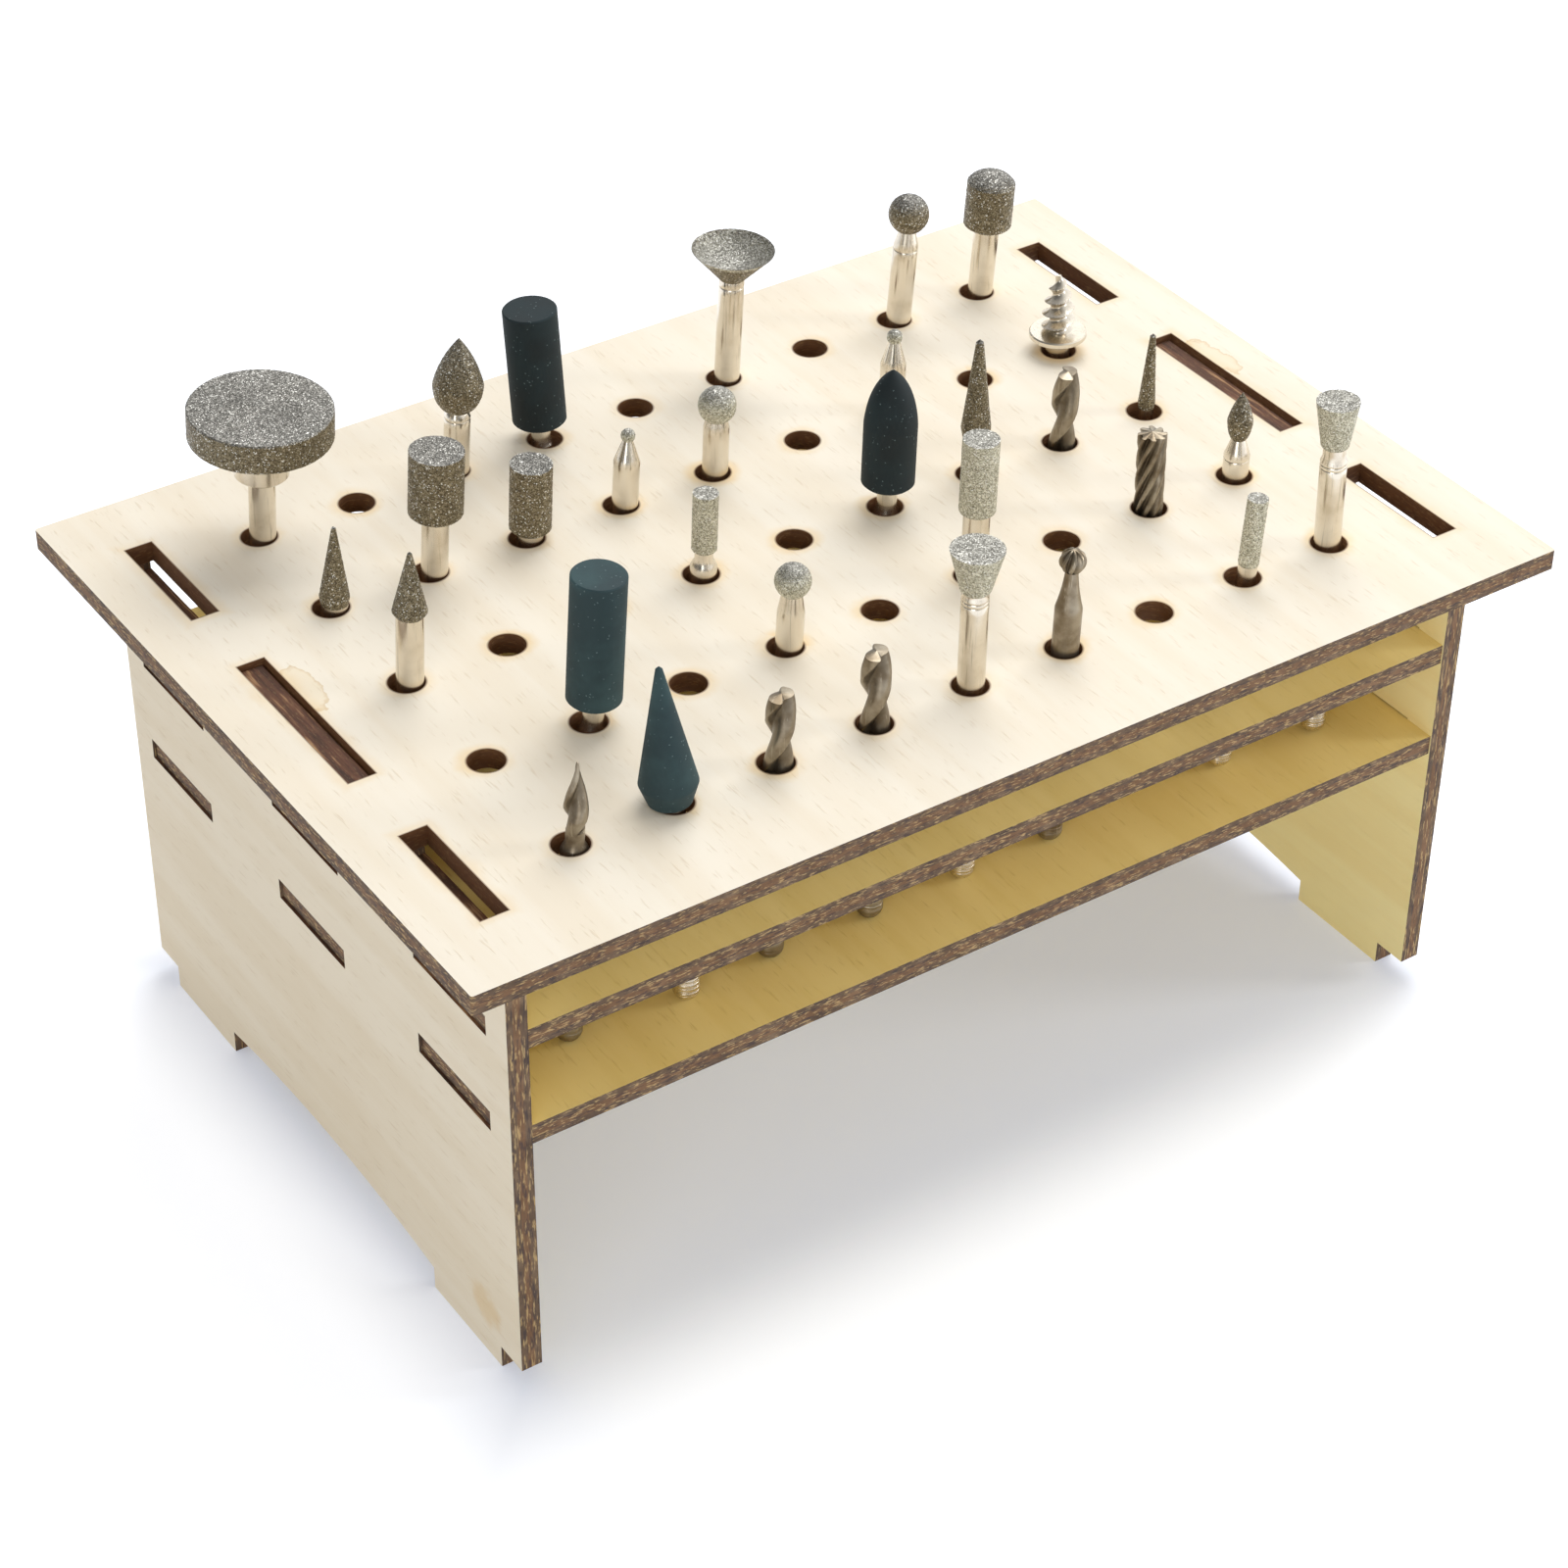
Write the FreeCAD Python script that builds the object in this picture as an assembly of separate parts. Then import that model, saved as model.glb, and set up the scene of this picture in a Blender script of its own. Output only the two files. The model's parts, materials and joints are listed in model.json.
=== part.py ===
import FreeCAD, Part
import math
import os
from FreeCAD import Vector

# Stackable stand of laser-cut plywood for rotary tools, with the tools standing in it.
# Origin: centre of the footprint on the floor. +X runs along the stand, +Y to its back.

# Plywood sheet and top plate
ply = 2.6
plate_length = 146.0
plate_depth = 101.0
plate_corner_radius = 0.3
stand_height = 65.4

# Grid of tool holes
column_count = 9
row_count = 5
grid_margin_ends = 21.2
grid_margin_front = 15.7
hole_diameter = 4.3

# Side panels
panel_inset_ends = 7.2
panel_inset_front = 6.2
foot_drop = 3.1
foot_length = 15.1
arch_rise = 1.7
relief_clearance = 0.4

# Tabs and slots: one tab in the middle, one on either side of it
tab_end_margin = 12.1
top_tab_length = 25.3
top_tab_recess = 0.8
shelf_tab_length = 15.1
shelf_tab_recess = 0.4
tab_clearance = 0.15
slot_side_clearance = 0.4
stack_clearance = 0.9

# Shelves, by the height of their upper faces
guide_shelf_top = 51.8
rest_shelf_top = 38.4
shelf_setback = 0.2

# Tool shanks, and how far they may lean in their holes
shank_diameter = 3.175
seat_gap = 0.05
lean_clearance = 0.06
lean_heading = -37.0
burr_chamfer = 0.3
tip_flat = 0.3
mandrel_diameter = 2.4
mandrel_grip = 7.0
mandrel_fit = 0.03

# Curved heads: each pair is a share of the diameter at a share of the curve's height
dome_middle = (0.6, 0.7)
flame_belly = (0.84, 0.38)
flame_waist = (0.62, 0.52)
bullet_nose = (0.68, 0.62)
dish_middle = (0.55, 0.72)

# Fluted and threaded heads, as shares of the diameter
step_foot = 0.85
step_groove = 0.42
step_taper_power = 1.15
round_groove = 0.22
round_twist = 0.5
round_end_angle = 80.0
screw_offset = 0.12

# Derived places
column_pitch = (plate_length - 2 * grid_margin_ends) / (column_count - 1)
row_pitch = (plate_depth - 2 * grid_margin_front) / (row_count - 1)
plate_bottom = stand_height - ply
panel_outer_x = plate_length / 2 - panel_inset_ends
panel_inner_x = panel_outer_x - ply
panel_half_depth = plate_depth / 2 - panel_inset_front
shelf_half_depth = panel_half_depth - shelf_setback
tab_offset = panel_half_depth - tab_end_margin
stack_slot_length = foot_length + 2 * stack_clearance
slot_width = ply + 2 * slot_side_clearance
shank_radius = shank_diameter / 2
shank_depth = stand_height - rest_shelf_top - seat_gap
guide_span = stand_height - guide_shelf_top + ply
lean_limit = (hole_diameter - shank_diameter - 2 * lean_clearance) / guide_span


def block(x0, x1, y0, y1, z0, z1):
    """Box between two opposite corners."""
    return Part.makeBox(x1 - x0, y1 - y0, z1 - z0, Vector(x0, y0, z0))


def hole_centre(column, row):
    """Plan position of a hole: columns from 1 at the left, rows from 1 at the front."""
    x = (column - (column_count + 1) / 2) * column_pitch
    y = (row - (row_count + 1) / 2) * row_pitch
    return x, y


def drilled(sheet, bottom, top):
    """Cut the whole grid of tool holes through a horizontal sheet."""
    drills = []
    for column in range(1, column_count + 1):
        for row in range(1, row_count + 1):
            x, y = hole_centre(column, row)
            drills.append(Part.makeCylinder(hole_diameter / 2, top - bottom, Vector(x, y, bottom)))
    return sheet.cut(drills)


def top_plate():
    """Plate with the hole grid, the stacking slots and the slots of the panels' top tabs."""
    half_length = plate_length / 2
    half_depth = plate_depth / 2
    plate = block(-half_length, half_length, -half_depth, half_depth, plate_bottom, stand_height)
    corners = [e for e in plate.Edges if abs(e.Vertexes[0].Z - e.Vertexes[1].Z) > ply / 2]
    plate = plate.makeFillet(plate_corner_radius, corners)
    slots = []
    for side in (-1, 1):
        middle = side * (panel_outer_x + panel_inner_x) / 2
        x0 = middle - slot_width / 2
        x1 = middle + slot_width / 2
        half = top_tab_length / 2 + tab_clearance
        slots.append(block(x0, x1, -half, half, plate_bottom, stand_height))
        for end in (-1, 1):
            y0 = end * tab_offset - stack_slot_length / 2
            slots.append(block(x0, x1, y0, y0 + stack_slot_length, plate_bottom, stand_height))
    return drilled(plate.cut(slots), plate_bottom, stand_height)


def panel_outline():
    """Side panel in the YZ plane: feet, shallow arch, top tab and reliefs under the stacking slots."""
    foot_in = tab_offset - foot_length / 2
    foot_out = tab_offset + foot_length / 2
    relief_in = tab_offset - stack_slot_length / 2
    relief_out = tab_offset + stack_slot_length / 2
    relief_floor = plate_bottom - max(foot_drop - ply, 0.0) - relief_clearance
    tab_top = stand_height - top_tab_recess
    half_tab = top_tab_length / 2
    right_side = [
        (foot_in, foot_drop), (foot_in, 0.0), (foot_out, 0.0), (foot_out, foot_drop),
        (panel_half_depth, foot_drop), (panel_half_depth, plate_bottom),
        (relief_out, plate_bottom), (relief_out, relief_floor),
        (relief_in, relief_floor), (relief_in, plate_bottom),
        (half_tab, plate_bottom), (half_tab, tab_top),
    ]
    path = right_side + [(-y, z) for y, z in reversed(right_side)]
    points = [Vector(0, y, z) for y, z in path]
    edges = [Part.makeLine(a, b) for a, b in zip(points, points[1:])]
    crown = Vector(0, 0, foot_drop + arch_rise)
    edges.append(Part.Arc(points[-1], crown, points[0]).toShape())
    return Part.Face(Part.Wire(edges))


def side_panel(side):
    """Upright end panel; side is -1 for the left one and 1 for the right one."""
    panel = panel_outline().extrude(Vector(ply, 0, 0))
    left_x = panel_inner_x if side > 0 else -panel_outer_x
    panel.translate(Vector(left_x, 0, 0))
    half = shelf_tab_length / 2 + tab_clearance
    slots = []
    for shelf_top in (guide_shelf_top, rest_shelf_top):
        for y in (-tab_offset, 0.0, tab_offset):
            top = shelf_top + tab_clearance
            slots.append(block(left_x, left_x + ply, y - half, y + half, shelf_top - ply, top))
    return panel.cut(slots)


def shelf(top):
    """Shelf between the panels, with three tabs at each end that reach into the panels' slots."""
    bottom = top - ply
    sheet = block(-panel_inner_x, panel_inner_x, -shelf_half_depth, shelf_half_depth, bottom, top)
    tab_end = panel_outer_x - shelf_tab_recess
    half = shelf_tab_length / 2
    tabs = [block(-tab_end, tab_end, y - half, y + half, bottom, top) for y in (-tab_offset, 0.0, tab_offset)]
    return sheet.fuse(tabs).removeSplitter()


class Turning:
    """Outline of a turned piece: diameters against heights above the plate's upper face."""

    def __init__(self, height):
        self.start = Vector(0, 0, height)
        self.point = self.start
        self.edges = []

    def to(self, diameter, height):
        """Straight stretch to a diameter at a height; none where the outline is there already."""
        end = Vector(diameter / 2, 0, height)
        if not end.isEqual(self.point, 1e-6):
            self.edges.append(Part.makeLine(self.point, end))
        self.point = end
        return self

    def arc(self, through_diameter, through_height, diameter, height):
        """Arc of a circle about the axis, through one point to another."""
        end = Vector(diameter / 2, 0, height)
        through = Vector(through_diameter / 2, 0, through_height)
        self.edges.append(Part.Arc(self.point, through, end).toShape())
        self.point = end
        return self

    def bend(self, widest, middle, diameter, height):
        """Free curve to a diameter at a height, its middle given as shares of widest and of the rise."""
        end = Vector(diameter / 2, 0, height)
        rise = height - self.point.z
        through = Vector(widest * middle[0] / 2, 0, self.point.z + rise * middle[1])
        curve = Part.BSplineCurve()
        curve.interpolate([self.point, through, end])
        self.edges.append(curve.toShape())
        self.point = end
        return self

    def solid(self):
        """Close the outline along its axis and turn it round."""
        edges = self.edges + [Part.makeLine(self.point, self.start)]
        return Part.Face(Part.Wire(edges)).revolve(Vector(0, 0, 0), Vector(0, 0, 1), 360)


def shank(shoulder):
    """Rounded lower end and straight shank, up to its shoulder."""
    low = -shank_depth
    half_turn = math.sqrt(0.5)
    middle_height = low + shank_radius * (1 - half_turn)
    outline = Turning(low)
    outline.arc(shank_diameter * half_turn, middle_height, shank_diameter, low + shank_radius)
    return outline.to(shank_diameter, shoulder)


def cylinder_burr(diameter, base, top, neck=shank_diameter, shoulder=0.0, dome=0.0):
    """Grit-coated cylinder, with a flat or a domed top."""
    outline = shank(shoulder).to(neck, shoulder + abs(shank_diameter - neck))
    outline.to(neck, base).to(max(diameter - 2 * burr_chamfer, neck), base)
    outline.to(diameter, base + burr_chamfer).to(diameter, top - dome)
    if dome > 0:
        outline.bend(diameter, dome_middle, tip_flat, top)
    return [outline.to(0, top).solid()]


def inverted_cone_burr(diameter, foot, base, top, neck, shoulder):
    """Grit-coated cone that widens upwards to a flat top."""
    outline = shank(shoulder).to(neck, shoulder + shank_diameter - neck).to(neck, base)
    return [outline.to(foot, base + burr_chamfer).to(diameter, top).to(0, top).solid()]


def ball_burr(ball, centre, neck, shoulder):
    """Ball on a tapered neck."""
    meet = centre - math.sqrt(ball ** 2 - neck ** 2) / 2
    outline = shank(shoulder).to(neck, meet)
    return [outline.arc(ball, centre, 0, centre + ball / 2).solid()]


def cone_burr(diameter, base, widest, top, tip, neck=shank_diameter, shoulder=0.0):
    """Pointed cone or needle with a small blunt tip."""
    outline = shank(shoulder).to(neck, shoulder + abs(shank_diameter - neck)).to(neck, base)
    return [outline.to(diameter, widest).to(tip, top - tip / 2).to(0, top).solid()]


def flame_burr(diameter, base, widest, top, neck, shoulder):
    """Pear-shaped head: round below, drawn out to a point above."""
    outline = shank(shoulder).to(neck, base)
    outline.bend(diameter, flame_belly, diameter, widest)
    return [outline.bend(diameter, flame_waist, tip_flat, top).to(0, top).solid()]


def wheel_burr(diameter, base, top, collar, collar_base):
    """Flat wheel on a stepped collar."""
    outline = shank(collar_base).to(collar, collar_base).to(collar, base).to(diameter, base)
    return [outline.to(diameter, top).to(0, top).solid()]


def cup_burr(rim, base, top, neck, dish, shoulder):
    """Flaring cup with a hollow, dished top."""
    outline = shank(shoulder).to(neck, base).to(rim, top)
    floor = top - dish
    return [outline.bend(rim, dish_middle, tip_flat, floor).to(0, floor).solid()]


def fluted_section(diameter, height, flutes, groove, turn):
    """Closed section across a fluted cutter; turn is its twist in radians."""
    count = flutes * 8
    points = []
    for i in range(count + 1):
        angle = 2 * math.pi * (i % count) / count
        cut = groove * (0.5 - 0.5 * math.cos(flutes * angle)) ** 2
        radius = diameter / 2 * (1 - cut)
        points.append(Vector(radius * math.cos(angle + turn), radius * math.sin(angle + turn), height))
    return Part.makePolygon(points)


def fluted_cutter(stations, flutes, groove, lead, neck=shank_diameter, shoulder=0.0):
    """Steel cutter with helical flutes; stations are diameters against heights, lead is one full twist."""
    base = stations[0][1]
    sections = []
    for diameter, height in stations:
        turn = 2 * math.pi * (height - base) / lead
        sections.append(fluted_section(diameter, height, flutes, groove, turn))
    cutter = Part.makeLoft(sections, True, True)
    stem = shank(shoulder).to(neck, shoulder + shank_diameter - neck).to(neck, base).to(0, base).solid()
    return [stem.fuse(cutter)]


def straight_cutter(diameter, base, top, flutes, groove, lead):
    """Fluted cutter of one diameter, cut into short steps along its twist."""
    steps = 10
    stations = [(diameter, base + (top - base) * i / steps) for i in range(steps + 1)]
    return fluted_cutter(stations, flutes, groove, lead, shoulder=base)


def step_cutter(diameter, base, widest, top, tip, neck, shoulder, flutes, lead):
    """Fluted countersink: a short cylinder drawn out to a sharp point."""
    steps = 8
    stations = [(diameter * step_foot, base), (diameter, widest)]
    for i in range(1, steps + 1):
        share = i / steps
        taper = (tip - diameter) * share ** step_taper_power
        stations.append((diameter + taper, widest + (top - widest) * share))
    return fluted_cutter(stations, flutes, step_groove, lead, neck, shoulder)


def round_cutter(ball, centre, neck, shoulder, flutes):
    """Fluted ball on a long tapered neck."""
    start = math.asin(neck / ball) - math.pi / 2
    finish = math.radians(round_end_angle)
    steps = 8
    stations = []
    for i in range(steps + 1):
        angle = start + (finish - start) * i / steps
        stations.append((ball * math.cos(angle), centre + ball / 2 * math.sin(angle)))
    stem = shank(shoulder).to(neck, stations[0][1]).to(0, stations[0][1]).solid()
    sections = []
    for i, (diameter, height) in enumerate(stations):
        sections.append(fluted_section(diameter, height, flutes, round_groove, round_twist * i / steps))
    return [stem.fuse(Part.makeLoft(sections, True, True))]


def screw_mandrel(flange, flange_base, flange_top, thread, pitch, top, tip):
    """Flange with a tapered coarse screw above it, drawn as an off-centre circle that climbs and turns."""
    stem = shank(flange_base).to(flange, flange_base).to(flange, flange_top).to(0, flange_top).solid()
    per_turn = 6
    count = round((top - flange_top) / pitch * per_turn)
    sections = []
    for i in range(count + 1):
        share = i / count
        diameter = thread + (tip - thread) * share ** 2
        angle = 2 * math.pi * i / per_turn
        offset = diameter * screw_offset
        height = flange_top + (top - flange_top) * share
        centre = Vector(offset * math.cos(angle), offset * math.sin(angle), height)
        sections.append(Part.Wire(Part.makeCircle(diameter / 2 - offset, centre)))
    return [stem.fuse(Part.makeLoft(sections, True, False))]


def polisher(outline, base):
    """Rubber head, bored for the thin end of its own mandrel. Returns the mandrel and the head."""
    step = shank_diameter - mandrel_diameter
    neck_start = -step - seat_gap
    end = base + mandrel_grip
    mandrel = shank(neck_start).to(mandrel_diameter, neck_start + step).to(mandrel_diameter, end).to(0, end)
    bore_radius = mandrel_diameter / 2 + mandrel_fit
    bore = Part.makeCylinder(bore_radius, mandrel_grip, Vector(0, 0, base))
    return [mandrel.solid(), outline.solid().cut(bore)]


def cylinder_polisher(diameter, base, top):
    """Plain rubber cylinder with softened edges."""
    outline = Turning(base).to(diameter - 2 * burr_chamfer, base).to(diameter, base + burr_chamfer)
    outline.to(diameter, top - burr_chamfer).to(diameter - 2 * burr_chamfer, top)
    return polisher(outline.to(0, top), base)


def bullet_polisher(diameter, base, shoulder, top):
    """Rubber cylinder with an ogive nose."""
    outline = Turning(base).to(diameter - 2 * burr_chamfer, base).to(diameter, base + burr_chamfer)
    outline.to(diameter, shoulder).bend(diameter, bullet_nose, tip_flat, top)
    return polisher(outline.to(0, top), base)


def cone_polisher(diameter, foot, base, widest, top, tip):
    """Rubber cone on a short tapered foot."""
    outline = Turning(base).to(foot, base).to(diameter, widest).to(tip, top - tip / 2).to(0, top)
    return polisher(outline, base)


def lean_slope(lean):
    """Sideways run per unit of height, in X and Y, for a share of the lean that the holes allow."""
    heading = math.radians(lean_heading)
    return lean * lean_limit * math.cos(heading), lean * lean_limit * math.sin(heading)


def stand_in_hole(solid, column, row, lean):
    """Stand a tool in its hole: round end on the rest shelf, leaning about the middle of its two guides."""
    x, y = hole_centre(column, row)
    slope_x, slope_y = lean_slope(lean)
    axis = Vector(slope_x, slope_y, 1).normalize()
    end_height = rest_shelf_top + seat_gap + shank_radius
    drop = stand_height - guide_span / 2 - end_height
    round_end = Vector(x - slope_x * drop, y - slope_y * drop, end_height)
    origin = round_end + axis * (shank_depth - shank_radius)
    solid.Placement = FreeCAD.Placement(origin, FreeCAD.Rotation(Vector(0, 0, 1), axis))
    return solid


# The tools: name, column, row, share of the lean, and the shape. Heights are above the plate's upper face.
tools = [
    ("step_cutter_a1", 1, 1, 0.85,
     step_cutter(diameter=3.1, base=2.0, widest=3.8, top=10.8, tip=0.3, neck=2.1, shoulder=-0.6,
                 flutes=2, lead=16.0)),
    ("cone_polisher_a2", 2, 1, -0.95,
     cone_polisher(diameter=6.6, foot=5.0, base=0.5, widest=2.9, top=17.8, tip=0.8)),
    ("twist_cutter_a3", 3, 1, 0.5,
     straight_cutter(diameter=3.3, base=-0.8, top=9.2, flutes=2, groove=0.5, lead=14.0)),
    ("twist_cutter_a4", 4, 1, 0.05,
     straight_cutter(diameter=3.4, base=-0.8, top=9.7, flutes=2, groove=0.5, lead=14.0)),
    ("inverted_cone_burr_a5", 5, 1, 0.1,
     inverted_cone_burr(diameter=6.2, foot=3.5, base=12.6, top=18.1, neck=2.9, shoulder=12.0)),
    ("round_cutter_a6", 6, 1, 0.36,
     round_cutter(ball=3.1, centre=11.8, neck=1.5, shoulder=5.6, flutes=8)),
    ("thin_cylinder_burr_a8", 8, 1, 0.8,
     cylinder_burr(diameter=2.45, base=1.9, top=10.9, neck=2.3, shoulder=-3.0)),
    ("inverted_cone_burr_a9", 9, 1, -0.38,
     inverted_cone_burr(diameter=5.1, foot=3.3, base=13.2, top=19.3, neck=2.7, shoulder=11.4)),
    ("cylinder_polisher_b2", 2, 2, 0.9,
     cylinder_polisher(diameter=6.3, base=3.2, top=19.5)),
    ("ball_burr_b4", 4, 2, 0.72,
     ball_burr(ball=4.2, centre=9.0, neck=2.4, shoulder=4.9)),
    ("cylinder_burr_b6", 6, 2, 0.25,
     cylinder_burr(diameter=4.3, base=8.8, top=18.5)),
    ("spiral_cutter_b8", 8, 2, -0.2,
     straight_cutter(diameter=3.5, base=-0.8, top=10.6, flutes=8, groove=0.22, lead=24.0)),
    ("flame_burr_b9", 9, 2, 0.15,
     flame_burr(diameter=3.1, base=5.2, widest=7.7, top=11.6, neck=1.7, shoulder=3.0)),
    ("cone_burr_c1", 1, 3, 0.77,
     cone_burr(diameter=4.0, base=8.7, widest=10.0, top=17.4, tip=0.5)),
    ("necked_cylinder_burr_c4", 4, 3, 0.5,
     cylinder_burr(diameter=3.0, base=3.3, top=11.1, neck=2.2, shoulder=1.2)),
    ("bullet_polisher_c6", 6, 3, 0.33,
     bullet_polisher(diameter=6.4, base=3.4, shoulder=11.6, top=18.8)),
    ("needle_burr_c7", 7, 3, 0.05,
     cone_burr(diameter=3.6, base=5.4, widest=6.6, top=18.6, tip=0.9)),
    ("twist_cutter_c8", 8, 3, 0.43,
     straight_cutter(diameter=3.3, base=-0.8, top=10.0, flutes=2, groove=0.5, lead=14.0)),
    ("needle_burr_c9", 9, 3, 0.36,
     cone_burr(diameter=2.1, base=0.6, widest=1.4, top=11.0, tip=0.7, neck=1.9, shoulder=-3.0)),
    ("cone_burr_d1", 1, 4, 0.83,
     cone_burr(diameter=3.5, base=0.7, widest=1.6, top=11.1, tip=0.5)),
    ("cylinder_burr_d2", 2, 4, 1.0,
     cylinder_burr(diameter=6.4, base=8.2, top=16.6)),
    ("cylinder_burr_d3", 3, 4, 0.75,
     cylinder_burr(diameter=5.0, base=1.4, top=10.3)),
    ("point_burr_d4", 4, 4, 0.9,
     ball_burr(ball=1.7, centre=9.7, neck=1.2, shoulder=6.2)),
    ("ball_burr_d5", 5, 4, 0.5,
     ball_burr(ball=4.6, centre=9.4, neck=2.6, shoulder=6.4)),
    ("point_burr_d7", 7, 4, 0.3,
     ball_burr(ball=1.9, centre=10.3, neck=1.4, shoulder=6.6)),
    ("screw_mandrel_d9", 9, 4, -0.3,
     screw_mandrel(flange=7.2, flange_base=2.1, flange_top=2.9, thread=4.2, pitch=1.75, top=10.7, tip=0.8)),
    ("wheel_burr_e1", 1, 5, 0.9,
     wheel_burr(diameter=16.9, base=14.0, top=17.7, collar=6.4, collar_base=8.6)),
    ("flame_burr_e3", 3, 5, 1.0,
     flame_burr(diameter=6.1, base=8.6, widest=12.2, top=18.5, neck=2.5, shoulder=8.0)),
    ("cylinder_polisher_e4", 4, 5, -0.8,
     cylinder_polisher(diameter=6.6, base=2.7, top=18.1)),
    ("cup_burr_e6", 6, 5, 0.73,
     cup_burr(rim=10.2, base=14.2, top=18.2, neck=3.0, dish=2.6, shoulder=13.8)),
    ("ball_burr_e8", 8, 5, 1.0,
     ball_burr(ball=5.1, centre=15.3, neck=2.2, shoulder=11.0)),
    ("domed_burr_e9", 9, 5, 0.88,
     cylinder_burr(diameter=6.1, base=9.8, top=17.4, dome=1.5)),
]


def build():
    """Every node of the assembly, by name."""
    nodes = {
        "top_plate": top_plate(),
        "left_panel": side_panel(-1),
        "right_panel": side_panel(1),
        "guide_shelf": drilled(shelf(guide_shelf_top), guide_shelf_top - ply, guide_shelf_top),
        "rest_shelf": shelf(rest_shelf_top),
    }
    for name, column, row, lean, solids in tools:
        suffixes = [""] if len(solids) == 1 else ["_mandrel", "_rubber"]
        for suffix, solid in zip(suffixes, solids):
            nodes[name + suffix] = stand_in_hole(solid, column, row, lean)
    return nodes


os.makedirs("parts", exist_ok=True)
for node_name, node_shape in build().items():
    print(node_name, node_shape.isValid(), len(node_shape.Solids), round(node_shape.Volume, 2))
    node_shape.exportStep("parts/" + node_name + ".step")
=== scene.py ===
"""Stocked plywood burr stand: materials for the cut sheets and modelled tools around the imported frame."""
import json
import logging
import math
from dataclasses import dataclass, field
from enum import Enum
from typing import Dict, List, Optional, Sequence, Tuple, Union

import bpy
import numpy as np
from mathutils import Matrix, Vector

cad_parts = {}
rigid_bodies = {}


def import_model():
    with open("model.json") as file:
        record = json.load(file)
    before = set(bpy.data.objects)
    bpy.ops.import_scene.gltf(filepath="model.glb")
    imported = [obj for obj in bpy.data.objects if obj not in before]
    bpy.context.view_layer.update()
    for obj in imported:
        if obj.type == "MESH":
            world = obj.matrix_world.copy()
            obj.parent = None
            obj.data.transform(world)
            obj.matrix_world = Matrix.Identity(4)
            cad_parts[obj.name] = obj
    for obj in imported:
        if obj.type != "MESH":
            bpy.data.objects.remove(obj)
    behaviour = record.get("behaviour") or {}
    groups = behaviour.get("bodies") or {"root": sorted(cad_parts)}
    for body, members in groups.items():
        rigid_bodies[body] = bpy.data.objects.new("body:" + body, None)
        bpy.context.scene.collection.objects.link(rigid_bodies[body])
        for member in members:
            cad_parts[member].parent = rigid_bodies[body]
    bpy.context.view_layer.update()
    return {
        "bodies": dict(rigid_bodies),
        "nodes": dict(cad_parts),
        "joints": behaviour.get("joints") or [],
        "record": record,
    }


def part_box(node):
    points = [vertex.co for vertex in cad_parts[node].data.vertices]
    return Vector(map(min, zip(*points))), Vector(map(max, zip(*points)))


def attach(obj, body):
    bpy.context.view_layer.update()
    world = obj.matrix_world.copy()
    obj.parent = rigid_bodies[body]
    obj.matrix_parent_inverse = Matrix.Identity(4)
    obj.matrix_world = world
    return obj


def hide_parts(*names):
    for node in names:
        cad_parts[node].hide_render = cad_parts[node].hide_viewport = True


Node = bpy.types.Node
Socket = bpy.types.NodeSocket
Tree = bpy.types.NodeTree
Piece = bpy.types.Object
Colour = Tuple[float, float, float]
Value = Union[float, Colour, Socket]
Station = Tuple[float, float]

MM = 0.001
LOG = logging.getLogger("burr_stand")
HOLLOW = "hollow"
SHARP_ANGLE = math.radians(32)
FULL_TURN = 2 * math.pi
GRIT_SEED = 32


def linear(red: int, green: int, blue: int) -> Colour:
    """Linear colour of an 8-bit display colour; the display curve is straight near black and a power above.

    Args:
        red, green, blue: display values from 0 to 255.

    Returns:
        Linear red, green and blue.
    """
    shares = [value / 255 for value in (red, green, blue)]
    return tuple(s / 12.92 if s <= 0.04045 else ((s + 0.055) / 1.055) ** 2.4 for s in shares)


class Finish(Enum):
    """Surface finishes of the tools."""

    GRIT = "diamond_grit"
    BRIGHT_GRIT = "diamond_grit_bright"
    NICKEL = "nickel_shank"
    STEEL = "cutter_steel"
    RUBBER = "polisher_rubber"
    BRIGHT_RUBBER = "polisher_rubber_light"

    @property
    def gritty(self) -> bool:
        """Whether the surface is coated with grit."""
        return self in (Finish.GRIT, Finish.BRIGHT_GRIT)


class Sheet(Enum):
    """Plywood sheets, by the veneer that they show; the shelves' yellow is painted bounce light."""

    TOP = "plywood_top"
    PANEL = "plywood_panel"
    SHELF = "plywood_shelf"


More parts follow.
